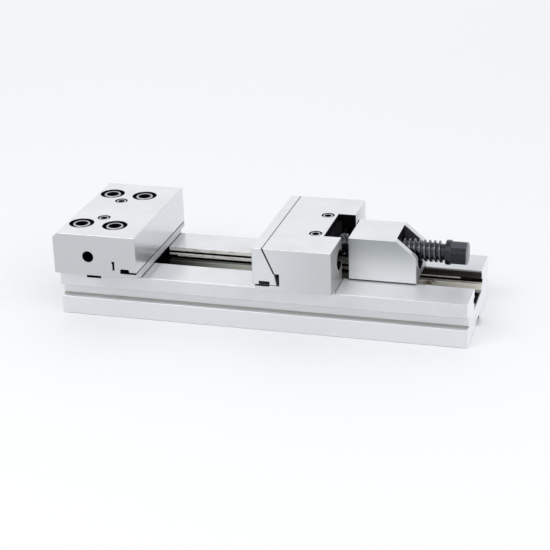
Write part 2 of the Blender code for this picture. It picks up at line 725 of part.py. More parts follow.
def build_guide_screws():
    """Make the two screws that hold the guide from the jaw's top."""
    seat = m8_seat()
    length = seat - (BASE_HEIGHT + GUIDE_HOLE_FLOOR + GAP)
    return screws("guide_screw", cap_screw_mesh("guide_screw", M8, length),
                  [at(x, y, seat) for x, y in guide_screw_places()])


def jaw_plate_outline():
    """List the jaw plate's side outline: its wedge back, its tongue, its notch and its lip."""
    bottom = BASE_HEIGHT + PLATE_BOTTOM_RISE
    notch_top = BASE_HEIGHT + PLATE_NOTCH_RISE
    wedge_end = BASE_HEIGHT + RELIEF_RISE
    lip = MOVABLE_FACE + PLATE_LIP
    tongue = lip + PLATE_NOTCH_LENGTH
    seam = GAP / math.cos(WEDGE_ANGLE)
    return [
        (MOVABLE_FACE, JAW_TOP), (MOVABLE_FACE, bottom), (lip, bottom), (lip, notch_top),
        (tongue, notch_top), (tongue, bottom), (MOVABLE_FACE + PLATE_FOOT_LENGTH, bottom),
        (wedge_x(wedge_end) - seam, wedge_end), (wedge_x(JAW_TOP) - seam, JAW_TOP),
    ]


def build_jaw_plate():
    """Make the pull-down jaw plate, with clearance holes for its two screws."""
    plate = prism("jaw_plate", jaw_plate_outline(), JAW_WIDTH, PARTS, at(0, 0, 0, ALONG_Y))
    break_edges(plate)
    steps = [(SPRING_RADIUS + PLATE_TRAVEL + RUNNING_GAP, PLATE_SCREW_RECESS),
             (M10.shank + PLATE_SCREW_CLEARANCE, PLATE_SCREW_LENGTH)]
    tools = []
    for number, y in enumerate((-PLATE_SCREW_Y, PLATE_SCREW_Y), 1):
        place = at(MOVABLE_FACE, y, BASE_HEIGHT + PLATE_SCREW_RISE, FACING_MINUS_X)
        tools.append(bore(f"plate_hole_{number}", steps, place))
    cut(plate, tools)
    return plate


def build_plate_fixings():
    """Make the jaw plate's two screws and the spring washers under their heads."""
    seat = MOVABLE_FACE + PLATE_HEAD_SETBACK + M10.head_height
    rise = BASE_HEIGHT + PLATE_SCREW_RISE
    sides = (-PLATE_SCREW_Y, PLATE_SCREW_Y)
    plate_screws = screws("plate_screw", cap_screw_mesh("plate_screw", M10, PLATE_SCREW_LENGTH),
                          [at(seat, y, rise, FACING_MINUS_X) for y in sides])
    hole = M10.shank + GAP
    half = SPRING_THICKNESS / 2
    profile = [(hole, 0), (SPRING_RADIUS, -half), (SPRING_RADIUS, -SPRING_THICKNESS), (hole, -half)]
    springs = []
    for number, y in enumerate(sides, 1):
        place = at(seat + GAP, y, rise, FACING_MINUS_X)
        springs.append(turned(f"plate_spring_{number}", profile, PARTS, place, closed=True))
    return plate_screws + springs


def arc(radius, middle, first, last, count):
    """List points (radius, height) on an arc about a middle on the axis, angles in radians."""
    turn = (last - first) / count
    return [(radius * math.cos(first + step * turn), middle + radius * math.sin(first + step * turn))
            for step in range(count + 1)]


def build_thrust_cup():
    """Make the hardened cup that takes the spindle's ball nose. Local Z points at the spindle."""
    bowl = arc(NOSE_RADIUS + GAP, 0, -math.pi / 2, 0, BALL_STEPS)
    profile = bowl + [(CUP_RADIUS, 0), (CUP_RADIUS, -CUP_LENGTH), (0, -CUP_LENGTH)]
    return turned("thrust_cup", profile, PARTS, at(NOSE_TIP + NOSE_RADIUS, 0, AXIS_HEIGHT, ALONG_X))


def build_nose_retainer():
    """Make the forked plate that keeps the spindle's nose flange in the jaw, and its two screws."""
    start = NOTCH_WALL + GAP
    end = start + RETAINER_THICKNESS
    half_width = RETAINER_WIDTH / 2
    half_height = RETAINER_HEIGHT / 2
    plate = block("nose_retainer", (start, -half_width, AXIS_HEIGHT - half_height),
                  (end, half_width, AXIS_HEIGHT + half_height), PARTS)
    break_edges(plate)
    fork = NOSE_STEM_RADIUS + RUNNING_GAP
    middle = (start + end) / 2
    depth = RETAINER_THICKNESS + 2 * OVERSHOOT
    outline = arc(fork, 0, 0, math.pi, SMALL_SIDES // 2) + [(-fork, -RETAINER_HEIGHT), (fork, -RETAINER_HEIGHT)]
    tools = [prism("retainer_fork", outline, depth, CUTTERS, at(middle, 0, AXIS_HEIGHT, ALONG_X))]
    places = []
    for number, y in enumerate((-RETAINER_SCREW_Y, RETAINER_SCREW_Y), 1):
        steps = [(M5.shank + GAP, RETAINER_THICKNESS + OVERSHOOT)]
        mouth = at(end, y, AXIS_HEIGHT, ALONG_X)
        tools.append(bore(f"retainer_hole_{number}", steps, mouth, SMALL_SIDES))
        places.append(at(end + GAP, y, AXIS_HEIGHT, ALONG_X))
    cut(plate, tools)
    mesh = cap_screw_mesh("retainer_screw", M5, RETAINER_SCREW_LENGTH)
    return [plate] + screws("retainer_screw", mesh, places)


def nut_screw_places():
    """List the X of the two screws that hold the nut block to its foot."""
    start = NUT_FRONT + NUT_FOOT_START
    return [start + NUT_SCREW_INSET, start + NUT_FOOT_LENGTH - NUT_SCREW_INSET]


def nut_screw_seat():
    """Give the height of the seat of the foot's screws, whose heads are below it."""
    return CHANNEL_FLOOR + TEE_FLOOR_GAP + M8.head_height + 2 * GAP


def build_nut_block():
    """Make the nut block: a chamfered block with a threaded bore and a U-shaped rear pocket."""
    outline = [
        (NUT_FRONT, NUT_BOTTOM), (NUT_REAR, NUT_BOTTOM), (NUT_REAR, NUT_TOP - NUT_CHAMFER_HEIGHT),
        (NUT_REAR - NUT_CHAMFER_LENGTH, NUT_TOP), (NUT_FRONT, NUT_TOP),
    ]
    nut = prism("nut_block", outline, NUT_WIDTH, PARTS, at(0, 0, 0, ALONG_Y))
    break_edges(nut)
    radius = NUT_POCKET_RADIUS
    wall = NUT_REAR - NUT_POCKET_LENGTH
    top = NUT_TOP + OVERSHOOT - AXIS_HEIGHT
    pocket = arc(radius, 0, -math.pi, 0, SMALL_SIDES) + [(radius, top), (-radius, top)]
    depth = NUT_POCKET_LENGTH + OVERSHOOT
    tools = [prism("rear_pocket", pocket, depth, CUTTERS, at(wall + depth / 2, 0, AXIS_HEIGHT, ALONG_X))]
    steps = [(THREAD_RADIUS + RUNNING_GAP, NUT_LENGTH + OVERSHOOT)]
    tools.append(bore("nut_thread", steps, at(NUT_REAR, 0, AXIS_HEIGHT, ALONG_X)))
    depth = nut_screw_seat() + NUT_SCREW_LENGTH - NUT_BOTTOM + GAP
    for number, x in enumerate(nut_screw_places(), 1):
        steps = [(M8.shank + GAP, depth)]
        tools.append(bore(f"nut_tapping_{number}", steps, at(x, 0, NUT_BOTTOM, FACING_MINUS_Z), SMALL_SIDES))
    cut(nut, tools)
    return nut


def build_nut_foot():
    """Make the nut block's foot, a tee with toothed shoulders that match the racks."""
    start = NUT_FRONT + NUT_FOOT_START
    neck = CHANNEL_WIDTH / 2 - RUNNING_GAP
    root = TEE_FLANGE_TOP - TOOTH_HEIGHT
    side = tee_side(neck, NUT_BOTTOM - GAP, root)
    del side[-3:-1]
    foot = prism("nut_foot", both_sides(side), NUT_FOOT_LENGTH, PARTS,
                 at(start + NUT_FOOT_LENGTH / 2, 0, 0, ALONG_X))
    count = int(NUT_FOOT_LENGTH / TOOTH_PITCH)
    buried = root - TOOTH_HEIGHT
    teeth = tooth_line(start, count, root - GAP, TEE_FLANGE_TOP)
    outline = [(start + GAP, buried)] + teeth[1:-1] + [(start + count * TOOTH_PITCH - GAP, buried)]
    outer = TEE_WIDTH / 2 - 2 * RUNNING_GAP
    inner = neck - RUNNING_GAP
    for number, way in enumerate((-1, 1), 1):
        place = at(0, way * (inner + outer) / 2, 0, ALONG_Y)
        combine(foot, prism(f"foot_teeth_{number}", outline, outer - inner, CUTTERS, place), "UNION")
    bottom = CHANNEL_FLOOR + TEE_FLOOR_GAP
    steps = [(M8.head + GAP, nut_screw_seat() - bottom), (M8.shank + GAP, NUT_BOTTOM - bottom + OVERSHOOT)]
    tools = []
    for number, x in enumerate(nut_screw_places(), 1):
        tools.append(bore(f"foot_hole_{number}", steps, at(x, 0, bottom, FACING_MINUS_Z), SMALL_SIDES))
    cut(foot, tools)
    mesh = cap_screw_mesh("nut_screw", M8, NUT_SCREW_LENGTH)
    seat = nut_screw_seat() - GAP
    return [foot] + screws("nut_screw", mesh, [at(x, 0, seat, FACING_MINUS_Z) for x in nut_screw_places()])


def spindle_profile():
    """List the spindle's turned profile from the collar's face down to the ball nose."""
    thread_end = THREAD_START + THREAD_LENGTH
    collar = thread_end + NECK_LENGTH
    top = collar + COLLAR_LENGTH
    flange_end = NOSE_FLANGE_START + NOSE_FLANGE_LENGTH
    return [
        (0, top), (COLLAR_RADIUS, top), (COLLAR_RADIUS, collar), (NECK_RADIUS, collar),
        (NOSE_STEM_RADIUS, flange_end), (NOSE_FLANGE_RADIUS, flange_end),
        (NOSE_FLANGE_RADIUS, NOSE_FLANGE_START), (NOSE_RADIUS, NOSE_FLANGE_START),
    ] + arc(NOSE_RADIUS, NOSE_RADIUS, 0, -math.pi / 2, BALL_STEPS)


def close_thread_ends(work):
    """Close both ends of a threaded tube with faces that run from its edge to its axis."""
    heights = [vertex.co.z for vertex in work.verts]
    middle = (min(heights) + max(heights)) / 2
    ends = [(min(heights) + THREAD_PITCH / 2, -1), (max(heights) - THREAD_PITCH / 2, 1)]
    for height, way in ends:
        edges = [edge for edge in work.edges if edge.is_boundary and way * (edge.verts[0].co.z - middle) > 0]
        grown = bmesh.ops.extrude_edge_only(work, edges=edges)["geom"]
        tips = [item for item in grown if isinstance(item, bmesh.types.BMVert)]
        bmesh.ops.pointmerge(work, verts=tips, merge_co=(0, 0, height))


def build_thread(matrix):
    """Make the threaded length: one pitch of the thread's outline, run up a right-hand helix."""
    depth = THREAD_RADIUS - THREAD_ROOT_RADIUS
    flank = depth * math.tan(THREAD_FLANK)
    low = THREAD_START
    crest_low = low + flank
    crest_high = crest_low + THREAD_CREST
    profile = [(THREAD_ROOT_RADIUS, low + THREAD_PITCH), (THREAD_ROOT_RADIUS, crest_high + flank),
               (THREAD_RADIUS, crest_high), (THREAD_RADIUS, crest_low), (THREAD_ROOT_RADIUS, low)]
    thread = turned("thread", profile, CUTTERS, matrix @ Matrix.Rotation(THREAD_TURN, 4, "Z"), THREAD_SIDES)
    helix = thread.modifiers["turn"]
    helix.screw_offset = THREAD_PITCH
    helix.iterations = int(THREAD_LENGTH / THREAD_PITCH) - 1
    mesh = mesh_from(thread, close_thread_ends)
    thread.modifiers.clear()
    thread.data = mesh
    return thread


def build_spindle():
    """Make the spindle. Its origin is on its axis, at the tip of its nose."""
    place = at(NOSE_TIP, 0, AXIS_HEIGHT, ALONG_X)
    spindle = turned("spindle", spindle_profile(), PARTS, place)
    collar_top = THREAD_START + THREAD_LENGTH + NECK_LENGTH + COLLAR_LENGTH
    low = collar_top - SHANK_OVERLAP
    bottom = collar_top + HEX_RELIEF
    top = collar_top + HEX_LENGTH
    corner = HEX_ACROSS_FLATS / math.sqrt(3)
    chamfer = corner - HEX_ACROSS_FLATS / 2
    profile = [(0, top), (corner - chamfer, top), (corner, top - chamfer / 2), (corner, bottom),
               (HEX_RELIEF_RADIUS, bottom), (HEX_RELIEF_RADIUS, low), (0, low)]
    head = turned("hexagon_blank", profile, CUTTERS, place)
    flats = hexagon("hexagon_flats", HEX_ACROSS_FLATS, low - OVERSHOOT, top + OVERSHOOT, CUTTERS,
                    place @ Matrix.Rotation(HEX_TURN, 4, "Z"))
    combine(head, flats, "INTERSECT")
    combine(spindle, head, "UNION")
    combine(spindle, build_thread(place), "UNION")
    return spindle


def carrier(name, place, parent=None):
    """Make an empty on a joint's axis, which carries the pieces that move there."""
    empty = bpy.data.objects.new(name, None)
    PARTS.objects.link(empty)
    empty.empty_display_size = BASE_HEIGHT / 2
    empty.matrix_world = place
    bpy.context.view_layer.update()
    if parent:
        attach([empty], parent)
    return empty


def attach(items, parent):
    """Parent objects to a carrier and keep their places."""
    bpy.context.view_layer.update()
    for item in items:
        item.parent = parent
        item.matrix_parent_inverse = parent.matrix_world.inverted()


def dress(items, material):
    """Give objects a material and smooth shading."""
    for item in items:
        item.data.materials.clear()
        item.data.materials.append(material)
        smooth = item.modifiers.new("smooth", "NODES")
        smooth.node_group = SMOOTHING


def main():
    """Build every piece, dress it and hang it on the carrier that moves it."""
    ground = new_material("ground_steel", (0.78, 0.79, 0.81), 0.25, 1.0)
    hardened = new_material("hardened_steel", (0.60, 0.61, 0.63), 0.30, 1.0)
    black = new_material("black_oxide", (0.03, 0.03, 0.035), 0.40, 0.7)
    spring = new_material("spring_steel", (0.30, 0.31, 0.33), 0.35, 1.0)

    base = build_base()
    racks = build_racks()
    fixed_jaw = build_fixed_jaw()
    key = build_cross_key()
    fixed_screws = build_fixed_jaw_screws()
    body = build_jaw_body()
    guide = build_jaw_guide()
    guide_screws = build_guide_screws()
    plate = build_jaw_plate()
    plate_screw_1, plate_screw_2, spring_1, spring_2 = build_plate_fixings()
    cup = build_thrust_cup()
    retainer, retainer_screw_1, retainer_screw_2 = build_nose_retainer()
    nut = build_nut_block()
    foot, nut_screw_1, nut_screw_2 = build_nut_foot()
    spindle = build_spindle()

    dress([base, fixed_jaw, body, plate, nut], ground)
    dress(racks + [key, guide, cup, foot], hardened)
    dress(fixed_screws + guide_screws + [plate_screw_1, plate_screw_2], black)
    dress([retainer, retainer_screw_1, retainer_screw_2, nut_screw_1, nut_screw_2, spindle], black)
    dress([spring_1, spring_2], spring)

    nut_carrier = carrier("nut_block_slide", at(NUT_FRONT, 0, BASE_HEIGHT))
    jaw_carrier = carrier("screw_feed_slide", at(MOVABLE_REAR, 0, BASE_HEIGHT), nut_carrier)
    seat = at(wedge_x(AXIS_HEIGHT), 0, AXIS_HEIGHT, Matrix.Rotation(-WEDGE_ANGLE, 4, "Y"))
    plate_carrier = carrier("pull_down_slide", seat, jaw_carrier)
    attach([nut, foot, nut_screw_1, nut_screw_2], nut_carrier)
    attach([body, guide, cup, retainer, retainer_screw_1, retainer_screw_2] + guide_screws, jaw_carrier)
    attach([plate_screw_1, plate_screw_2, spring_1, spring_2, spindle], jaw_carrier)
    attach([plate], plate_carrier)


main()
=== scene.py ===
"""Dress the modular machine vise in ground, hardened and blackened steel, and set it in a plain studio."""
from __future__ import annotations

import json
import logging
import math
from abc import ABC, abstractmethod
from dataclasses import dataclass, field
from enum import Enum
from typing import Any, Iterable, Sequence, Union

import bmesh
import bpy
from mathutils import Matrix, Vector

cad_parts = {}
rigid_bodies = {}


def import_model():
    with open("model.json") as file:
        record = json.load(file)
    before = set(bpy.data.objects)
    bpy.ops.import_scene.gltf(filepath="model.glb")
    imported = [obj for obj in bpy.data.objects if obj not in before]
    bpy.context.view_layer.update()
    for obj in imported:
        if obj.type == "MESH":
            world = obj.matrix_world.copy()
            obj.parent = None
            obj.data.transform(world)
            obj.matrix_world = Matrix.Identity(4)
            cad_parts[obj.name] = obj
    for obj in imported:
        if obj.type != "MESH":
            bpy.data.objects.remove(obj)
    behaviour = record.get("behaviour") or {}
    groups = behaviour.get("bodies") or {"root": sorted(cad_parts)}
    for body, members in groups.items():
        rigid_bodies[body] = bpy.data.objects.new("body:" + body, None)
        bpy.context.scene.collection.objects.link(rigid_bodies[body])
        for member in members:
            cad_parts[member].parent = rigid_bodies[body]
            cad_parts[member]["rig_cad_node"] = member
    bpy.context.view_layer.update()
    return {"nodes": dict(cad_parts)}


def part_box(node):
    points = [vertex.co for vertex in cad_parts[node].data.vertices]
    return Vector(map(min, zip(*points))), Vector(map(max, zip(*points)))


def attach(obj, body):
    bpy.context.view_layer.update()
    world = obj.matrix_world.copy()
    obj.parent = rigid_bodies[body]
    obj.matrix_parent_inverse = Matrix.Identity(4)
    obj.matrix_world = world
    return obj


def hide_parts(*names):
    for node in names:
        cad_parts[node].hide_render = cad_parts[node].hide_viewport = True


LOG = logging.getLogger("machine_vise")

Colour = tuple[float, float, float]
Point = tuple[float, float, float]

MERGE = 1e-6
BUMP_DISTANCE = 0.0001
SPINDLE_HEIGHT = 0.073
FACING_X = Matrix(((0, 0, 1), (1, 0, 0), (0, 1, 0))).to_4x4()
FACING_MINUS_X = Matrix(((0, 0, -1), (-1, 0, 0), (0, 1, 0))).to_4x4()
FACING_MINUS_Z = Matrix.Rotation(math.pi, 4, "X")


class Body(Enum):
    """The bodies that new pieces ride on."""

    BASE = "vise_base"
    NUT = "nut_carriage"
    JAW = "movable_jaw"
    SCREW = "feed_screw"


class Slot(Enum):
    """The material slots of the record."""

    GROUND = "ground_steel"
    HARDENED = "hardened_steel"
    BLACK = "black_oxide"
    SPRING = "spring_steel"


class Socket:
    """One output of a shader node. Python's operators add its Math nodes."""

    def __init__(self, canvas: "Canvas", output: bpy.types.NodeSocket) -> None:
        """Keep the canvas and the output.

        Args:
            canvas: The canvas that the node is on.
            output: The node's output.
        """
        self.canvas = canvas
        self.output = output

    def math(self, operation: str, *values: "Value") -> "Socket":
        """Add a Math node.

        Args:
            operation: The Math node's operation.
            values: The values of its sockets, in order.

        Returns:
            The node's result.
        """
        return self.canvas.node("ShaderNodeMath", {"operation": operation}, dict(enumerate(values)))

    def __add__(self, other: "Value") -> "Socket":
        """Add a value."""
        return self.math("ADD", self, other)

    def __radd__(self, other: "Value") -> "Socket":
        """Add to a value."""
        return self.math("ADD", other, self)

    def __sub__(self, other: "Value") -> "Socket":
        """Take away a value."""
        return self.math("SUBTRACT", self, other)

    def __rsub__(self, other: "Value") -> "Socket":
        """Take away from a value."""
        return self.math("SUBTRACT", other, self)

    def __mul__(self, other: "Value") -> "Socket":
        """Multiply by a value."""
        return self.math("MULTIPLY", self, other)

    def __rmul__(self, other: "Value") -> "Socket":
        """Multiply a value."""
        return self.math("MULTIPLY", other, self)

    def __pow__(self, other: "Value") -> "Socket":
        """Raise to a power."""
        return self.math("POWER", self, other)

    def __gt__(self, other: "Value") -> "Socket":
        """Give 1 where the value is greater."""
        return self.math("GREATER_THAN", self, other)

    def __and__(self, other: "Value") -> "Socket":
        """Give the smaller of two masks."""
        return self.math("MINIMUM", self, other)

    def __or__(self, other: "Value") -> "Socket":
        """Give the larger of two masks."""
        return self.math("MAXIMUM", self, other)

    def __abs__(self) -> "Socket":
        """Drop the sign."""
        return self.math("ABSOLUTE", self)

    def ramp(self, low: float, high: float, start: float = 0.0, end: float = 1.0) -> "Socket":
        """Map a span of values smoothly onto another.

        Args:
            low: The value that gives start.
            high: The value that gives end.
            start: The result at low.
            end: The result at high.

        Returns:
            The mapped value.
        """
        settings = {"interpolation_type": "SMOOTHSTEP"}
        values = {"Value": self, "From Min": low, "From Max": high, "To Min": start, "To Max": end}
        return self.canvas.node("ShaderNodeMapRange", settings, values)


Value = Union[Socket, float]

# Numbers of the Mix node's colour sockets
MIX_FACTOR = 0
MIX_FIRST = 6
MIX_SECOND = 7
MIX_RESULT = 2


class Canvas:
    """A node tree that nodes are added to."""

    def __init__(self, tree: bpy.types.NodeTree) -> None:
        """Keep the node tree.

        Args:
            tree: The node tree.
        """
        self.tree = tree

    def node(self, kind: str, settings: dict[str, Any] | None = None,
             values: dict[Any, Any] | None = None, output: int | str = 0) -> Socket:
        """Add a node.

        Args:
            kind: The node's type.
            settings: The node's properties, which are set first.
            values: The values or links of its sockets, by name or number.
            output: The output to return, by name or number.

        Returns:
            One output of the node.
        """
        made = self.tree.nodes.new(kind)
        for key, setting in (settings or {}).items():
            setattr(made, key, setting)
        for key, value in (values or {}).items():
            self.feed(made.inputs[key], value)
        return Socket(self, made.outputs[output])

    def feed(self, target: bpy.types.NodeSocket, value: Any) -> None:
        """Link a socket to an input, or set the input's value.

        Args:
            target: The input.
            value: A socket or a plain value.
        """
        if isinstance(value, Socket):
            self.tree.links.new(value.output, target)
        else:
            target.default_value = value

    def place(self) -> tuple[Socket, Socket, Socket]:
        """Give the object coordinates X, Y and Z of the shaded point."""
        return self.split(self.coordinates())

    def coordinates(self) -> Socket:
        """Give the object coordinates."""
        return self.node("ShaderNodeTexCoord", output="Object")

    def split(self, vector: Socket) -> tuple[Socket, Socket, Socket]:
        """Split a vector into three values.

        Args:
            vector: The vector.

        Returns:
            Its three parts.
        """
        first = self.node("ShaderNodeSeparateXYZ", None, {"Vector": vector}, "X")
        parts = first.output.node.outputs
        return first, Socket(self, parts["Y"]), Socket(self, parts["Z"])

    def noise(self, scale: Point, detail: float = 3.0, roughness: float = 0.5) -> Socket:
        """Give a noise on object coordinates.

        Args:
            scale: How many features there are to a metre along each axis.
            detail: The noise's octaves.
            roughness: How strong the fine octaves are.

        Returns:
            The noise, from 0 to 1.
        """
        stretched = self.node("ShaderNodeMapping", None, {"Vector": self.coordinates(), "Scale": scale})
        values = {"Vector": stretched, "Scale": 1.0, "Detail": detail, "Roughness": roughness}
        return self.node("ShaderNodeTexNoise", None, values, "Fac")

    def blend(self, factor: Value, first: Any, second: Any) -> Socket:
        """Mix two colours.

        Args:
            factor: How much of the second there is.
            first: The first colour.
            second: The second colour.

        Returns:
            The mixed colour.
        """
        values = {MIX_FACTOR: factor, MIX_FIRST: self._four(first), MIX_SECOND: self._four(second)}
        return self.node("ShaderNodeMix", {"data_type": "RGBA"}, values, MIX_RESULT)

    @staticmethod
    def _four(colour: Any) -> Any:
        """Give a plain colour its fourth number."""
        return colour if isinstance(colour, Socket) else (*colour, 1.0)

    def cover(self, patches: Sequence["Patch"], colour: Any, roughness: Value,
              metallic: Value) -> tuple[Any, Value, Value]:
        """Lay patches over a finish.

        Args:
            patches: The patches, the last one on top.
            colour: The finish's colour.
            roughness: The finish's roughness.
            metallic: The finish's metallic part.

        Returns:
            The colour, roughness and metallic part with the patches.
        """
        for patch in patches:
            mask = patch.mask(self)
            colour = self.blend(mask, colour, patch.tint(self))
            roughness = mask * patch.roughness + (1.0 - mask) * roughness
            metallic = mask * patch.metallic + (1.0 - mask) * metallic
        return colour, roughness, metallic

    def bump(self, height: Socket, strength: float, **values: Socket) -> Socket:
        """Give the shading normal of a bumpy surface.

        Args:
            height: The surface's height.
            strength: How strong the bumps are.
            values: The Bump node's other sockets, by name.

        Returns:
            The normal.
        """
        values = {"Strength": strength, "Distance": BUMP_DISTANCE, "Height": height, **values}
        return self.node("ShaderNodeBump", None, values)

    def soft_edges(self, radius: float) -> Socket:
        """Give the shading normal of slightly rounded edges.

        Args:
            radius: The edges' radius.

        Returns:
            The normal.
        """
        return self.node("ShaderNodeBevel", {"samples": 4}, {"Radius": radius})

    def between(self, value: Socket, low: float, high: float, soft: float = 0.0002) -> Socket:
        """Give 1 where a value lies between two limits.

        Args:
            value: The value.
            low: The lower limit.
            high: The upper limit.
            soft: The width over which the mask fades.

        Returns:
            The mask.
        """
        return value.ramp(low - soft, low + soft) & (1.0 - value.ramp(high - soft, high + soft))


class Paint(Canvas):
    """The canvas of one new material, with its Principled shader."""

    def __init__(self, name: str) -> None:
        """Make the material.

        Args:
            name: The material's name.
        """
        self.material = bpy.data.materials.new(name)
        self.material.use_nodes = True
        super().__init__(self.material.node_tree)
        self.shader = self.tree.nodes["Principled BSDF"]

    def finish(self, **values: Any) -> bpy.types.Material:
        """Feed the Principled shader.

        Args:
            values: The shader's sockets, by name, with an underscore for each space.

        Returns:
            The material.
        """
        for name, value in values.items():
            self.feed(self.shader.inputs[name.replace("_", " ")], value)
        return self.material


@dataclass(frozen=True, kw_only=True)
class Patch(ABC):
    """A part of a piece that has a finish of its own."""

    colour: Colour
    roughness: float = 0.5
    metallic: float = 1.0

    @abstractmethod
    def mask(self, canvas: Canvas) -> Socket:
        """Give 1 inside the patch.

        Args:
            canvas: The material's canvas.

        Returns:
            The mask.
        """

    def tint(self, canvas: Canvas) -> Any:
        """Give the patch's colour."""
        return self.colour


@dataclass(frozen=True, kw_only=True)
class Zone(Patch):
    """A patch between two corners in object coordinates, alike on both sides of the vise's middle plane.

    Its colour can change along one axis towards a far colour, and have darker spots.
    """

    low: Point
    high: Point
    far: Colour | None = None
    along: int = 0
    spots: float = 0.0
    spot_colour: Colour = (0.20, 0.11, 0.045)
    spot_scale: Point = (150.0, 150.0, 420.0)
    spot_ramp: tuple[float, float] = (0.46, 0.62)

    def mask(self, canvas: Canvas) -> Socket:
        """Give 1 inside the zone.

        Args:
            canvas: The material's canvas.

        Returns:
            The mask.
        """
        x, y, z = canvas.place()
        inside = canvas.between(x, self.low[0], self.high[0])
        inside = inside & canvas.between(abs(y), self.low[1], self.high[1])
        return inside & canvas.between(z, self.low[2], self.high[2])

    def tint(self, canvas: Canvas) -> Any:
        """Give the zone's colour.

        Args:
            canvas: The material's canvas.

        Returns:
            A plain colour or a socket.
        """
        colour = self.colour
        if self.far:
            way = canvas.place()[self.along].ramp(self.low[self.along], self.high[self.along])
            colour = canvas.blend(way, self.colour, self.far)
        if self.spots:
            spot = canvas.noise(self.spot_scale, 4.0, 0.65).ramp(*self.spot_ramp)
            colour = canvas.blend(spot * self.spots, colour, self.spot_colour)
        return colour


@dataclass(frozen=True, kw_only=True)
class Facing(Patch):
    """A patch of every surface that faces one way."""

    normal: Point
    likeness: float = 0.985

    def mask(self, canvas: Canvas) -> Socket:
        """Give 1 where the surface faces the patch's way.

        Args:
            canvas: The material's canvas.

        Returns:
            The mask.
        """
        facing = canvas.node("ShaderNodeTexCoord", output="Normal")
        likeness = canvas.node("ShaderNodeVectorMath", {"operation": "DOT_PRODUCT"},
                               {0: facing, 1: self.normal}, "Value")
        return likeness > self.likeness


@dataclass(frozen=True, kw_only=True)
class Seam(Patch):
    """A thin patch along a slanting plane that runs across the vise.

    The plane leans by the slant and passes through the start's X and Z. The patch begins past the inset,
    measured from the middle plane, and above the bottom.
    """

    slant: float
    start: tuple[float, float]
    bottom: float
    width: float = 0.0007
    inset: float = 0.0

    def mask(self, canvas: Canvas) -> Socket:
        """Give 1 near the plane.

        Args:
            canvas: The material's canvas.

        Returns:
            The mask.
        """
        x, y, z = canvas.place()
        level, rise = math.cos(self.slant), math.sin(self.slant)
        distance = x * level + z * rise - (self.start[0] * level + self.start[1] * rise)
        near = 1.0 - abs(distance).ramp(self.width * 0.4, self.width)
        return near & (z > self.bottom) & (abs(y) > self.inset)


@dataclass(frozen=True, kw_only=True)
class Ring(Patch):
    """A patch between two radii round an axis, alike on both sides of the vise's middle plane."""

    centre: Point
    radii: tuple[float, float]
    span: tuple[float, float]
    axis: int = 2

    def mask(self, canvas: Canvas) -> Socket:
        """Give 1 between the radii.

        Args:
            canvas: The material's canvas.

        Returns:
            The mask.
        """
        x, y, z = canvas.place()
        parts = [x - self.centre[0], abs(y) - self.centre[1], z - self.centre[2]]
        across = [part for number, part in enumerate(parts) if number != self.axis]
        reach = (across[0] * across[0] + across[1] * across[1]) ** 0.5
        span = canvas.between(canvas.place()[self.axis], *self.span)
        return span & canvas.between(reach, *self.radii)


@dataclass(frozen=True)
class GroundSteel:
    """Surface-ground steel: bright, with fine lines along the vise and soft clouds in its sheen."""

    name: str
    colour: Colour = (0.66, 0.67, 0.69)
    roughness: float = 0.22
    metallic: float = 0.60
    darker: float = 0.92
    lighter: float = 1.05
    line_scale: Point = (18.0, 2600.0, 2600.0)
    cross_scale: Point = (2600.0, 18.0, 2600.0)
    cloud_scale: float = 22.0
    line_share: float = 0.3
    line_sheen: float = 0.14
    cloud_sheen: float = 0.10
    line_depth: float = 0.05
    edge: float = 0.0004
    patches: tuple[Patch, ...] = ()

    def build(self) -> bpy.types.Material:
        """Make the material.

        Returns:
            The material.
        """
        canvas = Paint(self.name)
        facing = canvas.node("ShaderNodeTexCoord", output="Normal")
        end_on = abs(canvas.split(facing)[0]).ramp(0.6, 0.9)
        along = canvas.noise(self.line_scale, 2.0, 0.6)
        across = canvas.noise(self.cross_scale, 2.0, 0.6)
        lines = along * (1.0 - end_on) + across * end_on
        cloud = canvas.noise((self.cloud_scale,) * 3, 3.0, 0.55)
        tone = cloud.ramp(0.3, 0.7) * (1.0 - self.line_share) + lines * self.line_share
        dark = tuple(self.darker * part for part in self.colour)
        light = tuple(self.lighter * part for part in self.colour)
        colour = canvas.blend(tone, dark, light)
        roughness = self.roughness + (lines - 0.5) * self.line_sheen + (cloud - 0.5) * self.cloud_sheen
        colour, roughness, metallic = canvas.cover(self.patches, colour, roughness, self.metallic)
        bump = canvas.bump(lines, self.line_depth, Normal=canvas.soft_edges(self.edge))
        return canvas.finish(Base_Color=colour, Roughness=roughness, Metallic=metallic, Normal=bump)


@dataclass(frozen=True)
class HardenedSteel:
    """Milled and hardened steel: darker than ground steel, with a grainy, slightly stained sheen."""

    name: str
    colour: Colour = (0.50, 0.50, 0.50)
    stain: Colour = (0.34, 0.32, 0.29)
    grain_scale: float = 900.0
    grain_sheen: float = 0.2
    grain_depth: float = 0.15
    stain_scale: float = 60.0
    stain_sheen: float = 0.08
    roughness: float = 0.38
    patches: tuple[Patch, ...] = ()

    def build(self) -> bpy.types.Material:
        """Make the material.

        Returns:
            The material.
        """
        canvas = Paint(self.name)
        grain = canvas.noise((self.grain_scale,) * 3, 4.0, 0.6)
        stain = canvas.noise((self.stain_scale,) * 3, 4.0, 0.6).ramp(0.35, 0.75)
        colour = canvas.blend(stain, self.colour, self.stain)
        roughness = self.roughness + (grain - 0.5) * self.grain_sheen + stain * self.stain_sheen
        colour, roughness, metallic = canvas.cover(self.patches, colour, roughness, 1.0)
        bump = canvas.bump(grain, self.grain_depth)
        return canvas.finish(Base_Color=colour, Roughness=roughness, Metallic=metallic, Normal=bump)


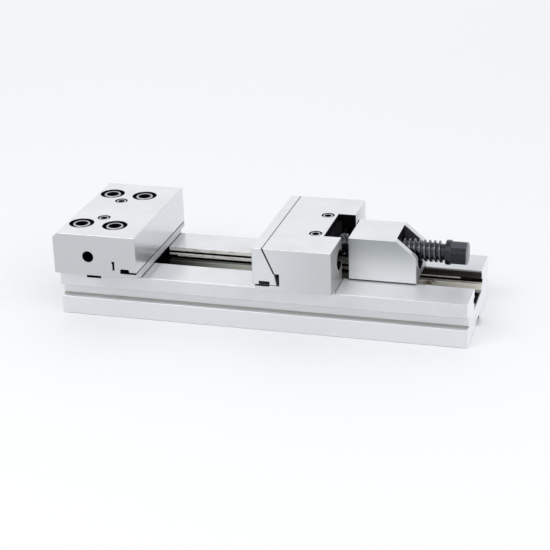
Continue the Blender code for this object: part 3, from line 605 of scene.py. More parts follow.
@dataclass(frozen=True)
class BlackOxide:
    """Blackened steel under a thin film of oil, rubbed grey on its edges."""

    name: str
    colour: Colour = (0.030, 0.033, 0.040)
    rubbed: Colour = (0.26, 0.27, 0.29)
    roughness: float = 0.24
    metallic: float = 0.85
    oily: float = 1.9
    oil_scale: float = 120.0
    oil_share: float = 0.35
    oil_sheen: float = 0.12
    grain_scale: float = 1400.0
    grain_sheen: float = 0.15
    grain_depth: float = 0.12
    edge: float = 0.0004
    patches: tuple[Patch, ...] = ()

    def build(self) -> bpy.types.Material:
        """Make the material.

        Returns:
            The material.
        """
        canvas = Paint(self.name)
        grain = canvas.noise((self.grain_scale,) * 3, 4.0, 0.6)
        oil = canvas.noise((self.oil_scale,) * 3, 3.0, 0.55)
        rounded = canvas.soft_edges(self.edge)
        flat = canvas.node("ShaderNodeNewGeometry", output="Normal")
        likeness = canvas.node("ShaderNodeVectorMath", {"operation": "DOT_PRODUCT"},
                               {0: rounded, 1: flat}, "Value")
        worn = (1.0 - likeness).ramp(0.02, 0.20) * oil.ramp(0.30, 0.60)
        film = tuple(self.oily * part for part in self.colour)
        colour = canvas.blend(worn, self.colour, self.rubbed)
        colour = canvas.blend(oil.ramp(0.45, 0.8) * self.oil_share, colour, film)
        roughness = self.roughness + (grain - 0.5) * self.grain_sheen + (oil - 0.5) * self.oil_sheen
        colour, roughness, metallic = canvas.cover(self.patches, colour, roughness, self.metallic)
        bump = canvas.bump(grain, self.grain_depth)
        return canvas.finish(Base_Color=colour, Roughness=roughness, Metallic=metallic, Normal=bump)


@dataclass(frozen=True)
class SpringSteel:
    """Blued spring steel with turning marks."""

    name: str
    colour: Colour = (0.22, 0.24, 0.28)
    lighter: float = 1.5
    mark_scale: float = 300.0
    mark_sheen: float = 0.15
    roughness: float = 0.30

    def build(self) -> bpy.types.Material:
        """Make the material.

        Returns:
            The material.
        """
        canvas = Paint(self.name)
        tint = canvas.noise((self.mark_scale,) * 3, 3.0, 0.5)
        colour = canvas.blend(tint, self.colour, tuple(self.lighter * part for part in self.colour))
        roughness = self.roughness + (tint - 0.5) * self.mark_sheen
        return canvas.finish(Base_Color=colour, Roughness=roughness, Metallic=1.0)


def dress(item: bpy.types.Object, material: bpy.types.Material) -> None:
    """Give a piece its material, and report it.

    Args:
        item: The piece.
        material: The material.
    """
    item.data.materials.clear()
    item.data.materials.append(material)
    "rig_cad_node" not in item
    LOG.info("%s: %d faces, %s", item.name, len(item.data.polygons), material.name)


def smooth_by_angle(mesh: bpy.types.Mesh, degrees: float = 32.0) -> None:
    """Shade a mesh smooth up to an angle.

    Args:
        mesh: The mesh.
        degrees: The angle past which an edge stays sharp.
    """
    work = bmesh.new()
    work.from_mesh(mesh)
    limit = math.radians(degrees)
    for face in work.faces:
        face.smooth = True
    for edge in work.edges:
        edge.smooth = len(edge.link_faces) == 2 and edge.calc_face_angle(0.0) < limit
    work.to_mesh(mesh)
    work.free()


def link_mesh(name: str, work: bmesh.types.BMesh) -> bpy.types.Object:
    """Make an object at the origin out of a bmesh.

    Args:
        name: The object's name.
        work: The bmesh, which is freed.

    Returns:
        The object.
    """
    mesh = bpy.data.meshes.new(name)
    work.to_mesh(mesh)
    work.free()
    smooth_by_angle(mesh)
    item = bpy.data.objects.new(name, mesh)
    bpy.context.scene.collection.objects.link(item)
    return item


def spin_profile(work: bmesh.types.BMesh, profile: Iterable[tuple[float, float]], steps: int) -> None:
    """Turn an outline of (radius, height) about Z.

    Args:
        work: The bmesh to add to.
        profile: The outline, open, with both ends on the axis.
        steps: The number of sides.
    """
    points = [work.verts.new((radius, 0.0, height)) for radius, height in profile]
    edges = [work.edges.new(pair) for pair in zip(points, points[1:])]
    bmesh.ops.spin(work, geom=points + edges, cent=(0, 0, 0), axis=(0, 0, 1), angle=math.tau,
                   steps=steps, use_merge=True)
    bmesh.ops.remove_doubles(work, verts=work.verts, dist=MERGE)
    bmesh.ops.recalc_face_normals(work, faces=work.faces)


def extrude_up(work: bmesh.types.BMesh, edges: Sequence[bmesh.types.BMEdge],
               move: Point) -> tuple[list[bmesh.types.BMVert], list[bmesh.types.BMEdge]]:
    """Extrude a loop of edges.

    Args:
        work: The bmesh.
        edges: The loop.
        move: How far the new loop goes.

    Returns:
        The new loop's vertices and edges.
    """
    grown = bmesh.ops.extrude_edge_only(work, edges=edges)["geom"]
    verts = [part for part in grown if isinstance(part, bmesh.types.BMVert)]
    loop = [part for part in grown if isinstance(part, bmesh.types.BMEdge)]
    bmesh.ops.translate(work, vec=move, verts=verts)
    return verts, loop


def close_ring(work: bmesh.types.BMesh, ring: Sequence[bmesh.types.BMEdge], height: float) -> None:
    """Close a ring with a fan to a point on the Z axis.

    Args:
        work: The bmesh.
        ring: The ring's edges.
        height: The point's height.
    """
    grown = bmesh.ops.extrude_edge_only(work, edges=ring)["geom"]
    tips = [part for part in grown if isinstance(part, bmesh.types.BMVert)]
    bmesh.ops.pointmerge(work, verts=tips, merge_co=(0, 0, height))


def reach_of(vert: bmesh.types.BMVert) -> float:
    """Give a vertex's distance from the Z axis."""
    return math.hypot(vert.co.x, vert.co.y)


def scale_reach(vert: bmesh.types.BMVert, factor: float) -> None:
    """Scale a vertex's distance from the Z axis."""
    vert.co.x *= factor
    vert.co.y *= factor


def closed_hexagon(work: bmesh.types.BMesh, sides: int, flats: float, height: float,
                   tip: float) -> list[bmesh.types.BMEdge]:
    """Start a shell with a hexagon about the Z axis that a fan closes.

    Args:
        work: The bmesh.
        sides: How many points the hexagon has.
        flats: Its width across flats.
        height: Its height.
        tip: The height of the fan's point.

    Returns:
        The hexagon's edges.
    """
    ring = bmesh.ops.create_circle(work, segments=sides, radius=flats / 2)["verts"]
    sector = math.radians(60)
    for vert in ring:
        angle = math.atan2(vert.co.y, vert.co.x)
        scale_reach(vert, 1 / math.cos(angle - sector * round(angle / sector)))
    bmesh.ops.translate(work, vec=(0, 0, height), verts=ring)
    edges = list(dict.fromkeys(edge for vert in ring for edge in vert.link_edges))
    close_ring(work, edges, tip)
    return edges


@dataclass
class CapScrew:
    """A socket head cap screw with a knurled head, seated at local Z = 0."""

    shank: float
    head: float
    head_height: float
    across_flats: float
    socket_depth: float
    sides: int = 96
    chamfer: float = 0.0006
    knurl: float = 0.00018
    socket_cone: float = 0.0006

    def outline(self, length: float) -> list[tuple[float, float]]:
        """List the rings round the screw's socket, from the head's top down to the shank's end.

        Args:
            length: The length of its shank.

        Returns:
            Each ring's radius and height.
        """
        top, soft = self.head_height, self.chamfer
        return [
            (self.head - soft, top), (self.head, top - soft),
            (self.head, soft / 2), (self.head - soft / 2, 0.0),
            (self.shank, 0.0), (self.shank, soft - length), (self.shank - soft, -length),
        ]

    def build(self, name: str, length: float, place: Matrix, turn: float) -> bpy.types.Object:
        """Make the screw.

        Args:
            name: The object's name.
            length: The length of its shank.
            place: Where it goes.
            turn: How far the screw is turned in its seat, in degrees.

        Returns:
            The screw.
        """
        work = bmesh.new()
        floor = self.head_height - self.socket_depth
        deep = closed_hexagon(work, self.sides, self.across_flats, floor + self.socket_cone, floor)
        _, loop = extrude_up(work, deep, (0, 0, self.socket_depth - self.socket_cone))
        for radius, height in self.outline(length):
            verts, loop = extrude_up(work, loop, (0, 0, 0))
            for vert in verts:
                scale_reach(vert, radius / reach_of(vert))
                vert.co.z = height
        close_ring(work, loop, -length)
        self.cut_knurl(work)
        bmesh.ops.recalc_face_normals(work, faces=work.faces)
        matrix = place @ Matrix.Rotation(math.radians(turn), 4, "Z")
        bmesh.ops.transform(work, matrix=matrix, verts=work.verts)
        return link_mesh(name, work)

    def cut_knurl(self, work: bmesh.types.BMesh) -> None:
        """Draw every second corner of the head's rim in.

        Args:
            work: The bmesh.
        """
        for vert in work.verts:
            number = round(math.atan2(vert.co.y, vert.co.x) / math.tau * self.sides)
            if number % 2 and abs(reach_of(vert) - self.head) < MERGE:
                scale_reach(vert, 1 - self.knurl / reach_of(vert))


M12 = CapScrew(shank=0.0060, head=0.0090, head_height=0.0120, across_flats=0.010, socket_depth=0.006)
M10 = CapScrew(shank=0.0050, head=0.0080, head_height=0.0090, across_flats=0.008, socket_depth=0.005)
M8 = CapScrew(shank=0.0040, head=0.0065, head_height=0.0080, across_flats=0.006, socket_depth=0.004)
M5 = CapScrew(shank=0.0025, head=0.00425, head_height=0.0050, across_flats=0.004, socket_depth=0.0025)


@dataclass
class ScrewRow:
    """A row of equal cap screws that stand for CAD nodes and take their places and lengths from them."""

    stem: str
    screw: CapScrew
    body: Body
    count: int = 2
    facing: Matrix = field(default_factory=lambda: Matrix.Identity(4))
    turns: tuple[float, ...] = (8.0, 41.0, 23.0, 52.0)

    def build(self, material: bpy.types.Material) -> None:
        """Make the row's screws.

        Args:
            material: The screws' material.
        """
        along = self.facing.to_3x3() @ Vector((0, 0, 1))
        for number in range(1, self.count + 1):
            node = f"{self.stem}_{number}"
            low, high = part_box(node)
            extent = abs(along.dot(high - low))
            seat = (low + high) / 2 + along * (extent / 2 - self.screw.head_height)
            place = Matrix.Translation(seat) @ self.facing
            turn = self.turns[(number - 1) % len(self.turns)]
            item = self.screw.build(f"{node}_made", extent - self.screw.head_height, place, turn)
            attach(item, self.body.value)
            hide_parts(node)
            dress(item, material)


@dataclass
class Spindle:
    """The feed screw: ball nose, flange, trapezoidal thread, collar and chamfered hexagon."""

    tip: float = 0.0388
    height: float = SPINDLE_HEIGHT
    nose: float = 0.007
    nose_steps: int = 12
    flange: tuple[float, float, float] = (0.013, 0.018, 0.0105)
    stem: float = 0.008
    thread: tuple[float, float] = (0.030, 0.130)
    thread_radius: float = 0.011
    root_radius: float = 0.0085
    pitch: float = 0.005
    lead: float = 0.0013
    crest: float = 0.0018
    crest_edge: float = 0.00018
    flank_degrees: float = 15.0
    sunk: float = 0.0006
    run_out: float = 0.3
    neck_length: float = 0.0088
    collar: tuple[float, float] = (0.0052, 0.0125)
    hexagon: tuple[float, float] = (0.0165, 0.022)
    hexagon_turn: float = 10.0
    head_overlap: float = 0.0002
    corner_drop: float = 0.0004
    corner_degrees: float = 30.0
    end_inset: float = 0.0007
    edge: float = 0.0005
    sides: int = 72

    def core(self, work: bmesh.types.BMesh) -> None:
        """Turn the shaft's core.

        Args:
            work: The bmesh to add to.
        """
        start, end, reach = self.flange
        low, high = self.thread
        collar = high + self.neck_length
        thick, wide = self.collar
        soft = self.edge
        angles = [step * math.pi / 2 / self.nose_steps for step in range(self.nose_steps + 1)]
        arc = [(self.nose * math.sin(angle), self.nose * (1 - math.cos(angle))) for angle in angles]
        profile = arc + [
            (self.nose, start), (reach - soft, start), (reach, start + soft), (reach, end - soft),
            (reach - soft, end), (self.stem, end), (self.stem, low), (self.root_radius, low + soft),
            (self.root_radius, high - soft), (self.stem, high), (self.stem, collar), (wide - soft, collar),
            (wide, collar + soft), (wide, collar + thick - soft), (wide - soft, collar + thick),
            (0.0, collar + thick),
        ]
        spin_profile(work, profile, self.sides)

    def helix(self, work: bmesh.types.BMesh) -> None:
        """Run the thread's ridge up the core as a right-hand helix.

        Args:
            work: The bmesh to add to.
        """
        low, high = self.thread
        turns = round((high - low) / self.pitch) + 1
        depth = self.thread_radius - self.root_radius
        flank = depth * math.tan(math.radians(self.flank_degrees))
        half = self.crest / 2
        soft = self.crest_edge
        sunk = self.root_radius - self.sunk
        middle = low + self.pitch / 2 - self.lead
        outline = [
            (sunk, middle - half - flank), (self.thread_radius - soft, middle - half),
            (self.thread_radius, middle - half + soft), (self.thread_radius, middle + half - soft),
            (self.thread_radius - soft, middle + half), (sunk, middle + half + flank),
        ]
        verts = [work.verts.new((radius, 0.0, height)) for radius, height in outline]
        face = work.faces.new(verts)
        steps = turns * self.sides
        before = set(work.verts)
        bmesh.ops.spin(work, geom=[face], cent=(0, 0, 0), axis=(0, 0, 1), angle=math.tau * turns,
                       dvec=(0, 0, self.pitch / self.sides), steps=steps, use_merge=False)
        last = middle + turns * self.pitch
        for vert in (set(work.verts) - before) | set(verts):
            near = min(vert.co.z - middle, last - vert.co.z) + half
            fade = max(0.0, min(1.0, near / (self.pitch * self.run_out)))
            reach = reach_of(vert)
            scale_reach(vert, (sunk + (reach - sunk) * fade) / reach)

    def head(self, work: bmesh.types.BMesh) -> None:
        """Make the hexagon with its chamfered corners.

        Args:
            work: The bmesh to add to.
        """
        length, flats = self.hexagon
        thick, _ = self.collar
        base = self.thread[1] + self.neck_length + thick
        low, high = base - self.head_overlap, base + length
        slope = math.tan(math.radians(self.corner_degrees))
        edges = closed_hexagon(work, self.sides, flats, low, low)
        upper, loop = extrude_up(work, edges, (0, 0, high - low))
        for vert in upper:
            vert.co.z -= self.corner_drop + (reach_of(vert) - flats / 2) * slope
        verts, inner = extrude_up(work, loop, (0, 0, 0))
        for vert in verts:
            scale_reach(vert, (flats / 2 - self.end_inset) / reach_of(vert))
            vert.co.z = high
        close_ring(work, inner, high)

    def build(self, material: bpy.types.Material) -> None:
        """Make the spindle.

        Args:
            material: The spindle's material.
        """
        work = bmesh.new()
        self.core(work)
        self.helix(work)
        self.head(work)
        bmesh.ops.recalc_face_normals(work, faces=work.faces)
        turn = Matrix.Rotation(math.radians(self.hexagon_turn), 4, "Z")
        place = Matrix.Translation((self.tip, 0, self.height)) @ FACING_X @ turn
        bmesh.ops.transform(work, matrix=place, verts=work.verts)
        item = link_mesh("spindle_made", work)
        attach(item, Body.SCREW.value)
        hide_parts("spindle")
        dress(item, material)


@dataclass(frozen=True)
class Lamp:
    """A soft square lamp."""

    name: str
    place: Point
    size: float
    power: float

    def hang(self, aim: Point) -> None:
        """Make the lamp.

        Args:
            aim: The point that it faces.
        """
        data = bpy.data.lights.new(self.name, "AREA")
        data.size = self.size
        data.energy = self.power
        lamp = bpy.data.objects.new(self.name, data)
        bpy.context.scene.collection.objects.link(lamp)
        way = (Vector(aim) - Vector(self.place)).to_track_quat("-Z", "Y")
        lamp.matrix_world = Matrix.Translation(self.place) @ way.to_matrix().to_4x4()


@dataclass
class Studio:
    """A pale floor, a white background, soft lamps and the camera."""

    focal: float = 105.83
    sensor: float = 36.0
    clip: tuple[float, float] = (0.05, 20.0)
    azimuth: float = 16.51
    elevation: float = 23.01
    roll: float = -1.94
    eye: Point = (0.4342, -1.4640, 0.6816)
    aim: Point = (0.0, 0.0, 0.05)
    lamps: tuple[Lamp, ...] = (
        Lamp("key_lamp", (-0.7, -1.1, 1.5), 1.2, 8.0),
        Lamp("fill_lamp", (1.4, -0.7, 0.9), 1.2, 4.0),
        Lamp("back_lamp", (-0.5, 1.7, 0.9), 2.2, 3.5),
    )
    sky: Colour = (0.95, 0.97, 1.0)
    sky_strength: float = 0.80
    background: Colour = (1.0, 1.0, 1.0)
    floor_colour: Colour = (0.97, 0.97, 0.97)
    floor_darker: float = 0.99
    floor_cloud: Point = (1.5, 1.5, 1.5)
    floor_half: float = 6.0
    floor_drop: float = 0.0002

    def camera(self) -> None:
        """Make the camera at the photograph's angle."""
        data = bpy.data.cameras.new("photo_camera")
        data.lens = self.focal
        data.sensor_width = self.sensor
        data.clip_start, data.clip_end = self.clip
        camera = bpy.data.objects.new("photo_camera", data)
        bpy.context.scene.collection.objects.link(camera)
        turn = math.radians(self.azimuth)
        lift = math.radians(self.elevation)
        tilt = math.radians(self.roll)
        back = Vector((math.sin(turn) * math.cos(lift), -math.cos(turn) * math.cos(lift), math.sin(lift)))
        level = Vector((math.cos(turn), math.sin(turn), 0))
        above = back.cross(level)
        right = math.cos(tilt) * level + math.sin(tilt) * above
        upward = back.cross(right)
        rows = Matrix((right, upward, back)).transposed().to_4x4()
        camera.matrix_world = Matrix.Translation(self.eye) @ rows
        bpy.context.scene.camera = camera

    def world(self) -> None:
        """Light the vise evenly, with a white background for the camera and for reflections."""
        world = bpy.data.worlds.new("studio_world")
        bpy.context.scene.world = world
        world.use_nodes = True
        canvas = Canvas(world.node_tree)
        camera = canvas.node("ShaderNodeLightPath", output="Is Camera Ray")
        rays = camera.output.node.outputs
        seen = camera | Socket(canvas, rays["Is Glossy Ray"]) | Socket(canvas, rays["Is Transmission Ray"])
        plain = canvas.node("ShaderNodeBackground", None,
                            {"Color": (*self.sky, 1.0), "Strength": self.sky_strength})
        white = canvas.node("ShaderNodeBackground", None, {"Color": (*self.background, 1.0)})
        shown = canvas.node("ShaderNodeMixShader", None, {0: seen, 1: plain, 2: white})
        canvas.feed(canvas.tree.nodes["World Output"].inputs["Surface"], shown)

    def floor(self) -> None:
        """Make the floor that the vise stands on."""
        work = bmesh.new()
        bmesh.ops.create_grid(work, x_segments=1, y_segments=1, size=self.floor_half)
        bmesh.ops.translate(work, vec=(0, 0, -self.floor_drop), verts=work.verts)
        item = link_mesh("studio_floor", work)
        canvas = Paint("floor_paper")
        cloud = canvas.noise(self.floor_cloud, 2.0, 0.5)
        darker = tuple(self.floor_darker * part for part in self.floor_colour)
        colour = canvas.blend(cloud * 0.3, self.floor_colour, darker)
        item.data.materials.append(canvas.finish(Base_Color=colour, Roughness=0.9))

    def build(self) -> None:
        """Make the studio."""
        self.world()
        self.floor()
        for lamp in self.lamps:
            lamp.hang(self.aim)
        self.camera()
        bpy.context.scene.view_settings.view_transform = "Standard"


# The painted shade, black, in a hollow, and the tones of the ground faces, most of them painted light and
# shade: lit and shaded faces, a painted reflection on the base's top, a painted shadow in the side groove
# and painted shade along the seam
PAINTED_SHADE_BLACK: Colour = (0.008, 0.008, 0.010)
GROOVE_WALL_GREY: Colour = (0.72, 0.73, 0.74)
LIT_END_WHITE: Colour = (0.88, 0.89, 0.92)
LIT_FLANGE_WHITE: Colour = (0.74, 0.75, 0.77)
PAINTED_REFLECTION_LIGHT: Colour = (0.90, 0.92, 0.93)
PAINTED_REFLECTION_GREY: Colour = (0.63, 0.65, 0.68)
LIT_LEDGE_GREY: Colour = (0.62, 0.63, 0.66)
SHADED_FRONT_GREY: Colour = (0.54, 0.55, 0.56)
LIT_BODY_GREY: Colour = (0.64, 0.65, 0.66)
LIT_FACE_GREY: Colour = (0.78, 0.79, 0.82)
SHADED_REAR_GREY: Colour = (0.38, 0.38, 0.38)
LIT_NUT_GREY: Colour = (0.86, 0.87, 0.88)
SHADED_NUT_GREY: Colour = (0.36, 0.38, 0.38)
SHADED_END_GREY: Colour = (0.52, 0.52, 0.56)
GROOVE_SHADOW_GREY: Colour = (0.36, 0.37, 0.34)
SEAM_SHADE_GREY: Colour = (0.10, 0.10, 0.11)

# The oiled walls of the channel, with a painted highlight of the oil, painted shadow by the fixed jaw and
# the spindle, and painted highlight and light by the spindle
OIL_SHEEN_BEIGE: Colour = (1.0, 0.98, 0.93)
SHADOW_OLIVE: Colour = (0.04, 0.04, 0.033)
PALE_OLIVE: Colour = (0.55, 0.56, 0.51)
SHADE_BROWN_BLACK: Colour = (0.030, 0.022, 0.018)
PAINTED_LIGHT_YELLOW: Colour = (1.0, 0.96, 0.85)

# Blackened steel's painted highlights on the screws' heads, the thread's crests and the hexagon's top, and
# the hexagon's lighter end
HIGHLIGHT_GREY: Colour = (0.38, 0.39, 0.41)
HIGHLIGHT_LIGHT_GREY: Colour = (0.56, 0.57, 0.60)
CREST_HIGHLIGHT_GREY: Colour = (0.11, 0.115, 0.13)
LIT_HEXAGON_GREY: Colour = (0.080, 0.088, 0.102)
HEXAGON_END: Colour = (0.20, 0.21, 0.24)

# What the patches of the channel's walls and the ground faces' painted tones share
OILED = {"roughness": 0.45, "metallic": 0.0}
GROUND = {"roughness": 0.3, "metallic": 0.6}

# Limits that many patches share: |Y| just past the middle plane, X past the base's ends, the
# heights just over the base and round the jaws' top, and |Y| inside and outside the jaws' sides
MIDDLE = -0.001
PAST_END = 0.22
OVER_BASE = 0.047
UNDER_TOP = 0.0926
OVER_TOP = 0.0935
INNER_SIDE = 0.0725
OUTER_SIDE = 0.0752


def painted_shade_in_hollows(boxes: dict[str, tuple[Point, Point]]) -> tuple[Zone, ...]:
    """Give the painted shade, black, in a piece's hollows and in the gaps between its parts.

    Args:
        boxes: The lower and upper corner of each hollow, by its name.

    Returns:
        The patches.
    """
    return tuple(
        Zone(colour=PAINTED_SHADE_BLACK, roughness=0.9, low=low, high=high) for low, high in boxes.values()
    )


@dataclass
class FixedHalf:
    """The base with its racks, and the fixed jaw with its key and screws."""

    jaw_face: float = -0.1215
    under_nut: float = 0.135
    channel_side: float = 0.029
    rack_side: float = 0.030
    rack_top: float = 0.040
    lip: float = 0.0358

    def channel(self) -> tuple[Patch, ...]:
        """List the channel's patches: pale oiled walls by the work with a painted highlight of the oil and
        rust spots, painted shadow under and by the fixed jaw, painted shade on the walls by the spindle,
        and painted highlight and light on the lip and the lower strip by the spindle.

        Returns:
            The patches.
        """
        face, nut, side, lip = self.jaw_face, self.under_nut, self.channel_side, self.lip
        return (
            # Painted highlight of the oil on the upper walls by the work, with rust spots
            Zone(colour=OIL_SHEEN_BEIGE, low=(face, MIDDLE, lip), high=(nut, side, 0.0456), spots=0.35, **OILED),
            # Painted shadow by the fixed jaw, fading into the lower walls' pale olive
            Zone(colour=SHADOW_OLIVE, far=PALE_OLIVE,
                 low=(face, MIDDLE, 0.0200), high=(-0.0300, side, 0.0309), **OILED),
            Zone(colour=PALE_OLIVE, low=(-0.0300, MIDDLE, 0.0200), high=(nut, side, 0.0309), **OILED),
            # Painted shade on the walls by the spindle
            Zone(colour=SHADE_BROWN_BLACK, low=(nut, MIDDLE, lip), high=(0.2145, side, 0.0442), **OILED),
            # Painted highlight along the lip by the spindle
            Zone(colour=PAINTED_LIGHT_YELLOW, low=(0.1400, MIDDLE, lip), high=(0.1880, side, 0.0374), **OILED),
            # Painted light on the lower strip by the spindle, with rust spots on part of it
            Zone(colour=PAINTED_LIGHT_YELLOW, low=(nut, MIDDLE, 0.0245), high=(0.2150, side, 0.0310), **OILED),
            Zone(colour=PAINTED_LIGHT_YELLOW, spots=0.9,
                 low=(0.1490, MIDDLE, 0.0270), high=(0.1660, side, 0.0310), **OILED),
            # Painted shade, black, under the fixed jaw, on the floor by the spindle, and in the grooves and
            # tee slots
            *painted_shade_in_hollows({
                "channel under the fixed jaw": ((-0.2150, MIDDLE, 0.0200), (face, side, 0.0460)),
                "channel's floor by the spindle": ((nut, MIDDLE, 0.0200), (0.2085, 0.0222, 0.0236)),
                "oil grooves": ((-PAST_END, 0.0232, 0.0392), (nut, 0.0260, 0.0416)),
                "tee slots": ((-PAST_END, 0.0240, 0.0310), (PAST_END, 0.0295, lip)),
            }),
        )

    def base_finish(self) -> GroundSteel:
        """Give the base's finish.

        Returns:
            The finish.
        """
        groove = {"roughness": 0.40, "metallic": 0.5}
        return GroundSteel("base_ground_steel", patches=(
            *self.channel(),
            # Painted shade, black, in the cross key slot's end and the keyway
            *painted_shade_in_hollows({
                "cross key slot's end": ((-0.1810, 0.0500, 0.0414), (-0.1650, 0.0626, 0.0462)),
                "keyway": ((-0.2150, MIDDLE, -0.0010), (0.2150, 0.0092, 0.0052)),
            }),
            # Painted light on the base's end face
            Zone(colour=LIT_END_WHITE, roughness=0.35, metallic=0.3,
                 low=(0.2095, 0.0, -0.001), high=(0.2105, 0.0635, 0.046)),
            # Painted light on the base's lower sides
            Zone(colour=LIT_FLANGE_WHITE, roughness=0.3, metallic=0.4,
                 low=(-PAST_END, 0.0625, -0.001), high=(PAST_END, 0.0635, 0.0188)),
            # Painted reflection on the base's top, light by the movable jaw and greyer towards the end
            Zone(colour=PAINTED_REFLECTION_LIGHT, far=PAINTED_REFLECTION_GREY, roughness=0.42, metallic=0.3,
                 low=(0.079, 0.0236, 0.0458), high=(0.2094, 0.0628, 0.0462)),
            # Mid grey on the side groove's back wall
            Zone(colour=GROOVE_WALL_GREY, **groove,
                 low=(-PAST_END, 0.0550, 0.0205), high=(PAST_END, 0.0565, 0.0315)),
            # Painted shadow along the foot of the side groove
            Zone(colour=GROOVE_SHADOW_GREY, **groove,
                 low=(-PAST_END, 0.0550, 0.0185), high=(PAST_END, 0.0565, 0.0208)),
        ))

    def jaw_finish(self) -> GroundSteel:
        """Give the fixed jaw's finish.

        Returns:
            The finish.
        """
        return GroundSteel("fixed_jaw_ground_steel", patches=(
            # Painted shade on the fixed jaw's sides
            Zone(colour=SHADED_FRONT_GREY, **GROUND,
                 low=(-0.211, 0.0746, 0.046), high=(-0.1222, 0.0755, UNDER_TOP)),
            # Painted light on the fixed jaw's face
            Facing(colour=LIT_FACE_GREY, roughness=0.22, metallic=0.7, normal=(1.0, 0.0, 0.0)),
            # Painted light on the ledge under the face
            Zone(colour=LIT_LEDGE_GREY, roughness=0.4, metallic=0.3,
                 low=(-0.1225, MIDDLE, 0.0455), high=(-0.1215, 0.0755, 0.0543)),
            # Painted shade, black, in the fixed jaw's hollows and the gap over the base
            *painted_shade_in_hollows({
                "relief behind the face": ((-0.1400, MIDDLE, 0.0536), (-0.1222, 0.0745, 0.0588)),
                "relief's slit": ((-0.1320, INNER_SIDE, 0.0538), (-0.1222, OUTER_SIDE, 0.0558)),
                "relief's pocket": ((-0.1391, INNER_SIDE, 0.0538), (-0.1294, OUTER_SIDE, 0.0578)),
                "work stop holes": ((-0.1800, 0.0545, 0.0630), (-0.1660, 0.0746, 0.0760)),
                "side slits": ((-0.1472, INNER_SIDE, 0.0567), (-0.1450, OUTER_SIDE, 0.0640)),
                "side slits' tops": ((-0.1478, INNER_SIDE, 0.0635), (-0.1448, OUTER_SIDE, 0.0662)),
                "screw holes": ((-0.2045, MIDDLE, 0.0560), (-0.1395, 0.0585, UNDER_TOP)),
                "gap over the base": ((-0.1225, MIDDLE, 0.0460), (-0.1210, 0.0625, OVER_BASE)),
            }),
        ))

    def rack_finish(self) -> HardenedSteel:
        """Give the racks' finish.

        Returns:
            The finish.
        """
        face, side, lip, top = self.jaw_face, self.rack_side, self.lip, self.rack_top
        return HardenedSteel("rack_steel", patches=(
            # Painted highlight of the oil on the racks by the work, and painted highlight on the teeth by
            # the spindle
            Zone(colour=OIL_SHEEN_BEIGE, low=(face, MIDDLE, lip), high=(self.under_nut, side, top), **OILED),
            Zone(colour=PAINTED_LIGHT_YELLOW, low=(0.1400, MIDDLE, lip), high=(0.1880, side, top), **OILED),
            # Painted shade, black, on the racks by the base's end and under the fixed jaw, and between the
            # teeth
            *painted_shade_in_hollows({
                "base's end": ((0.1880, MIDDLE, lip), (PAST_END, side, top)),
                "part under the fixed jaw": ((-PAST_END, MIDDLE, lip), (face, side, top)),
                "teeth's roots": ((-PAST_END, MIDDLE, 0.0340), (PAST_END, side, lip)),
            }),
        ))

    def build(self, nodes: dict[str, bpy.types.Object], black: bpy.types.Material) -> None:
        """Dress the base and the fixed jaw, and make their screws.

        Args:
            nodes: The CAD nodes.
            black: The black finish.
        """
        dress(nodes["base"], self.base_finish().build())
        dress(nodes["fixed_jaw"], self.jaw_finish().build())
        racks = self.rack_finish().build()
        for name in ("rack_front", "rack_rear"):
            dress(nodes[name], racks)
        dress(nodes["fixed_jaw_key"], black)
        ScrewRow("fixed_jaw_screw", M12, Body.BASE, 4).build(black)
        ScrewRow("key_screw", M8, Body.BASE).build(black)


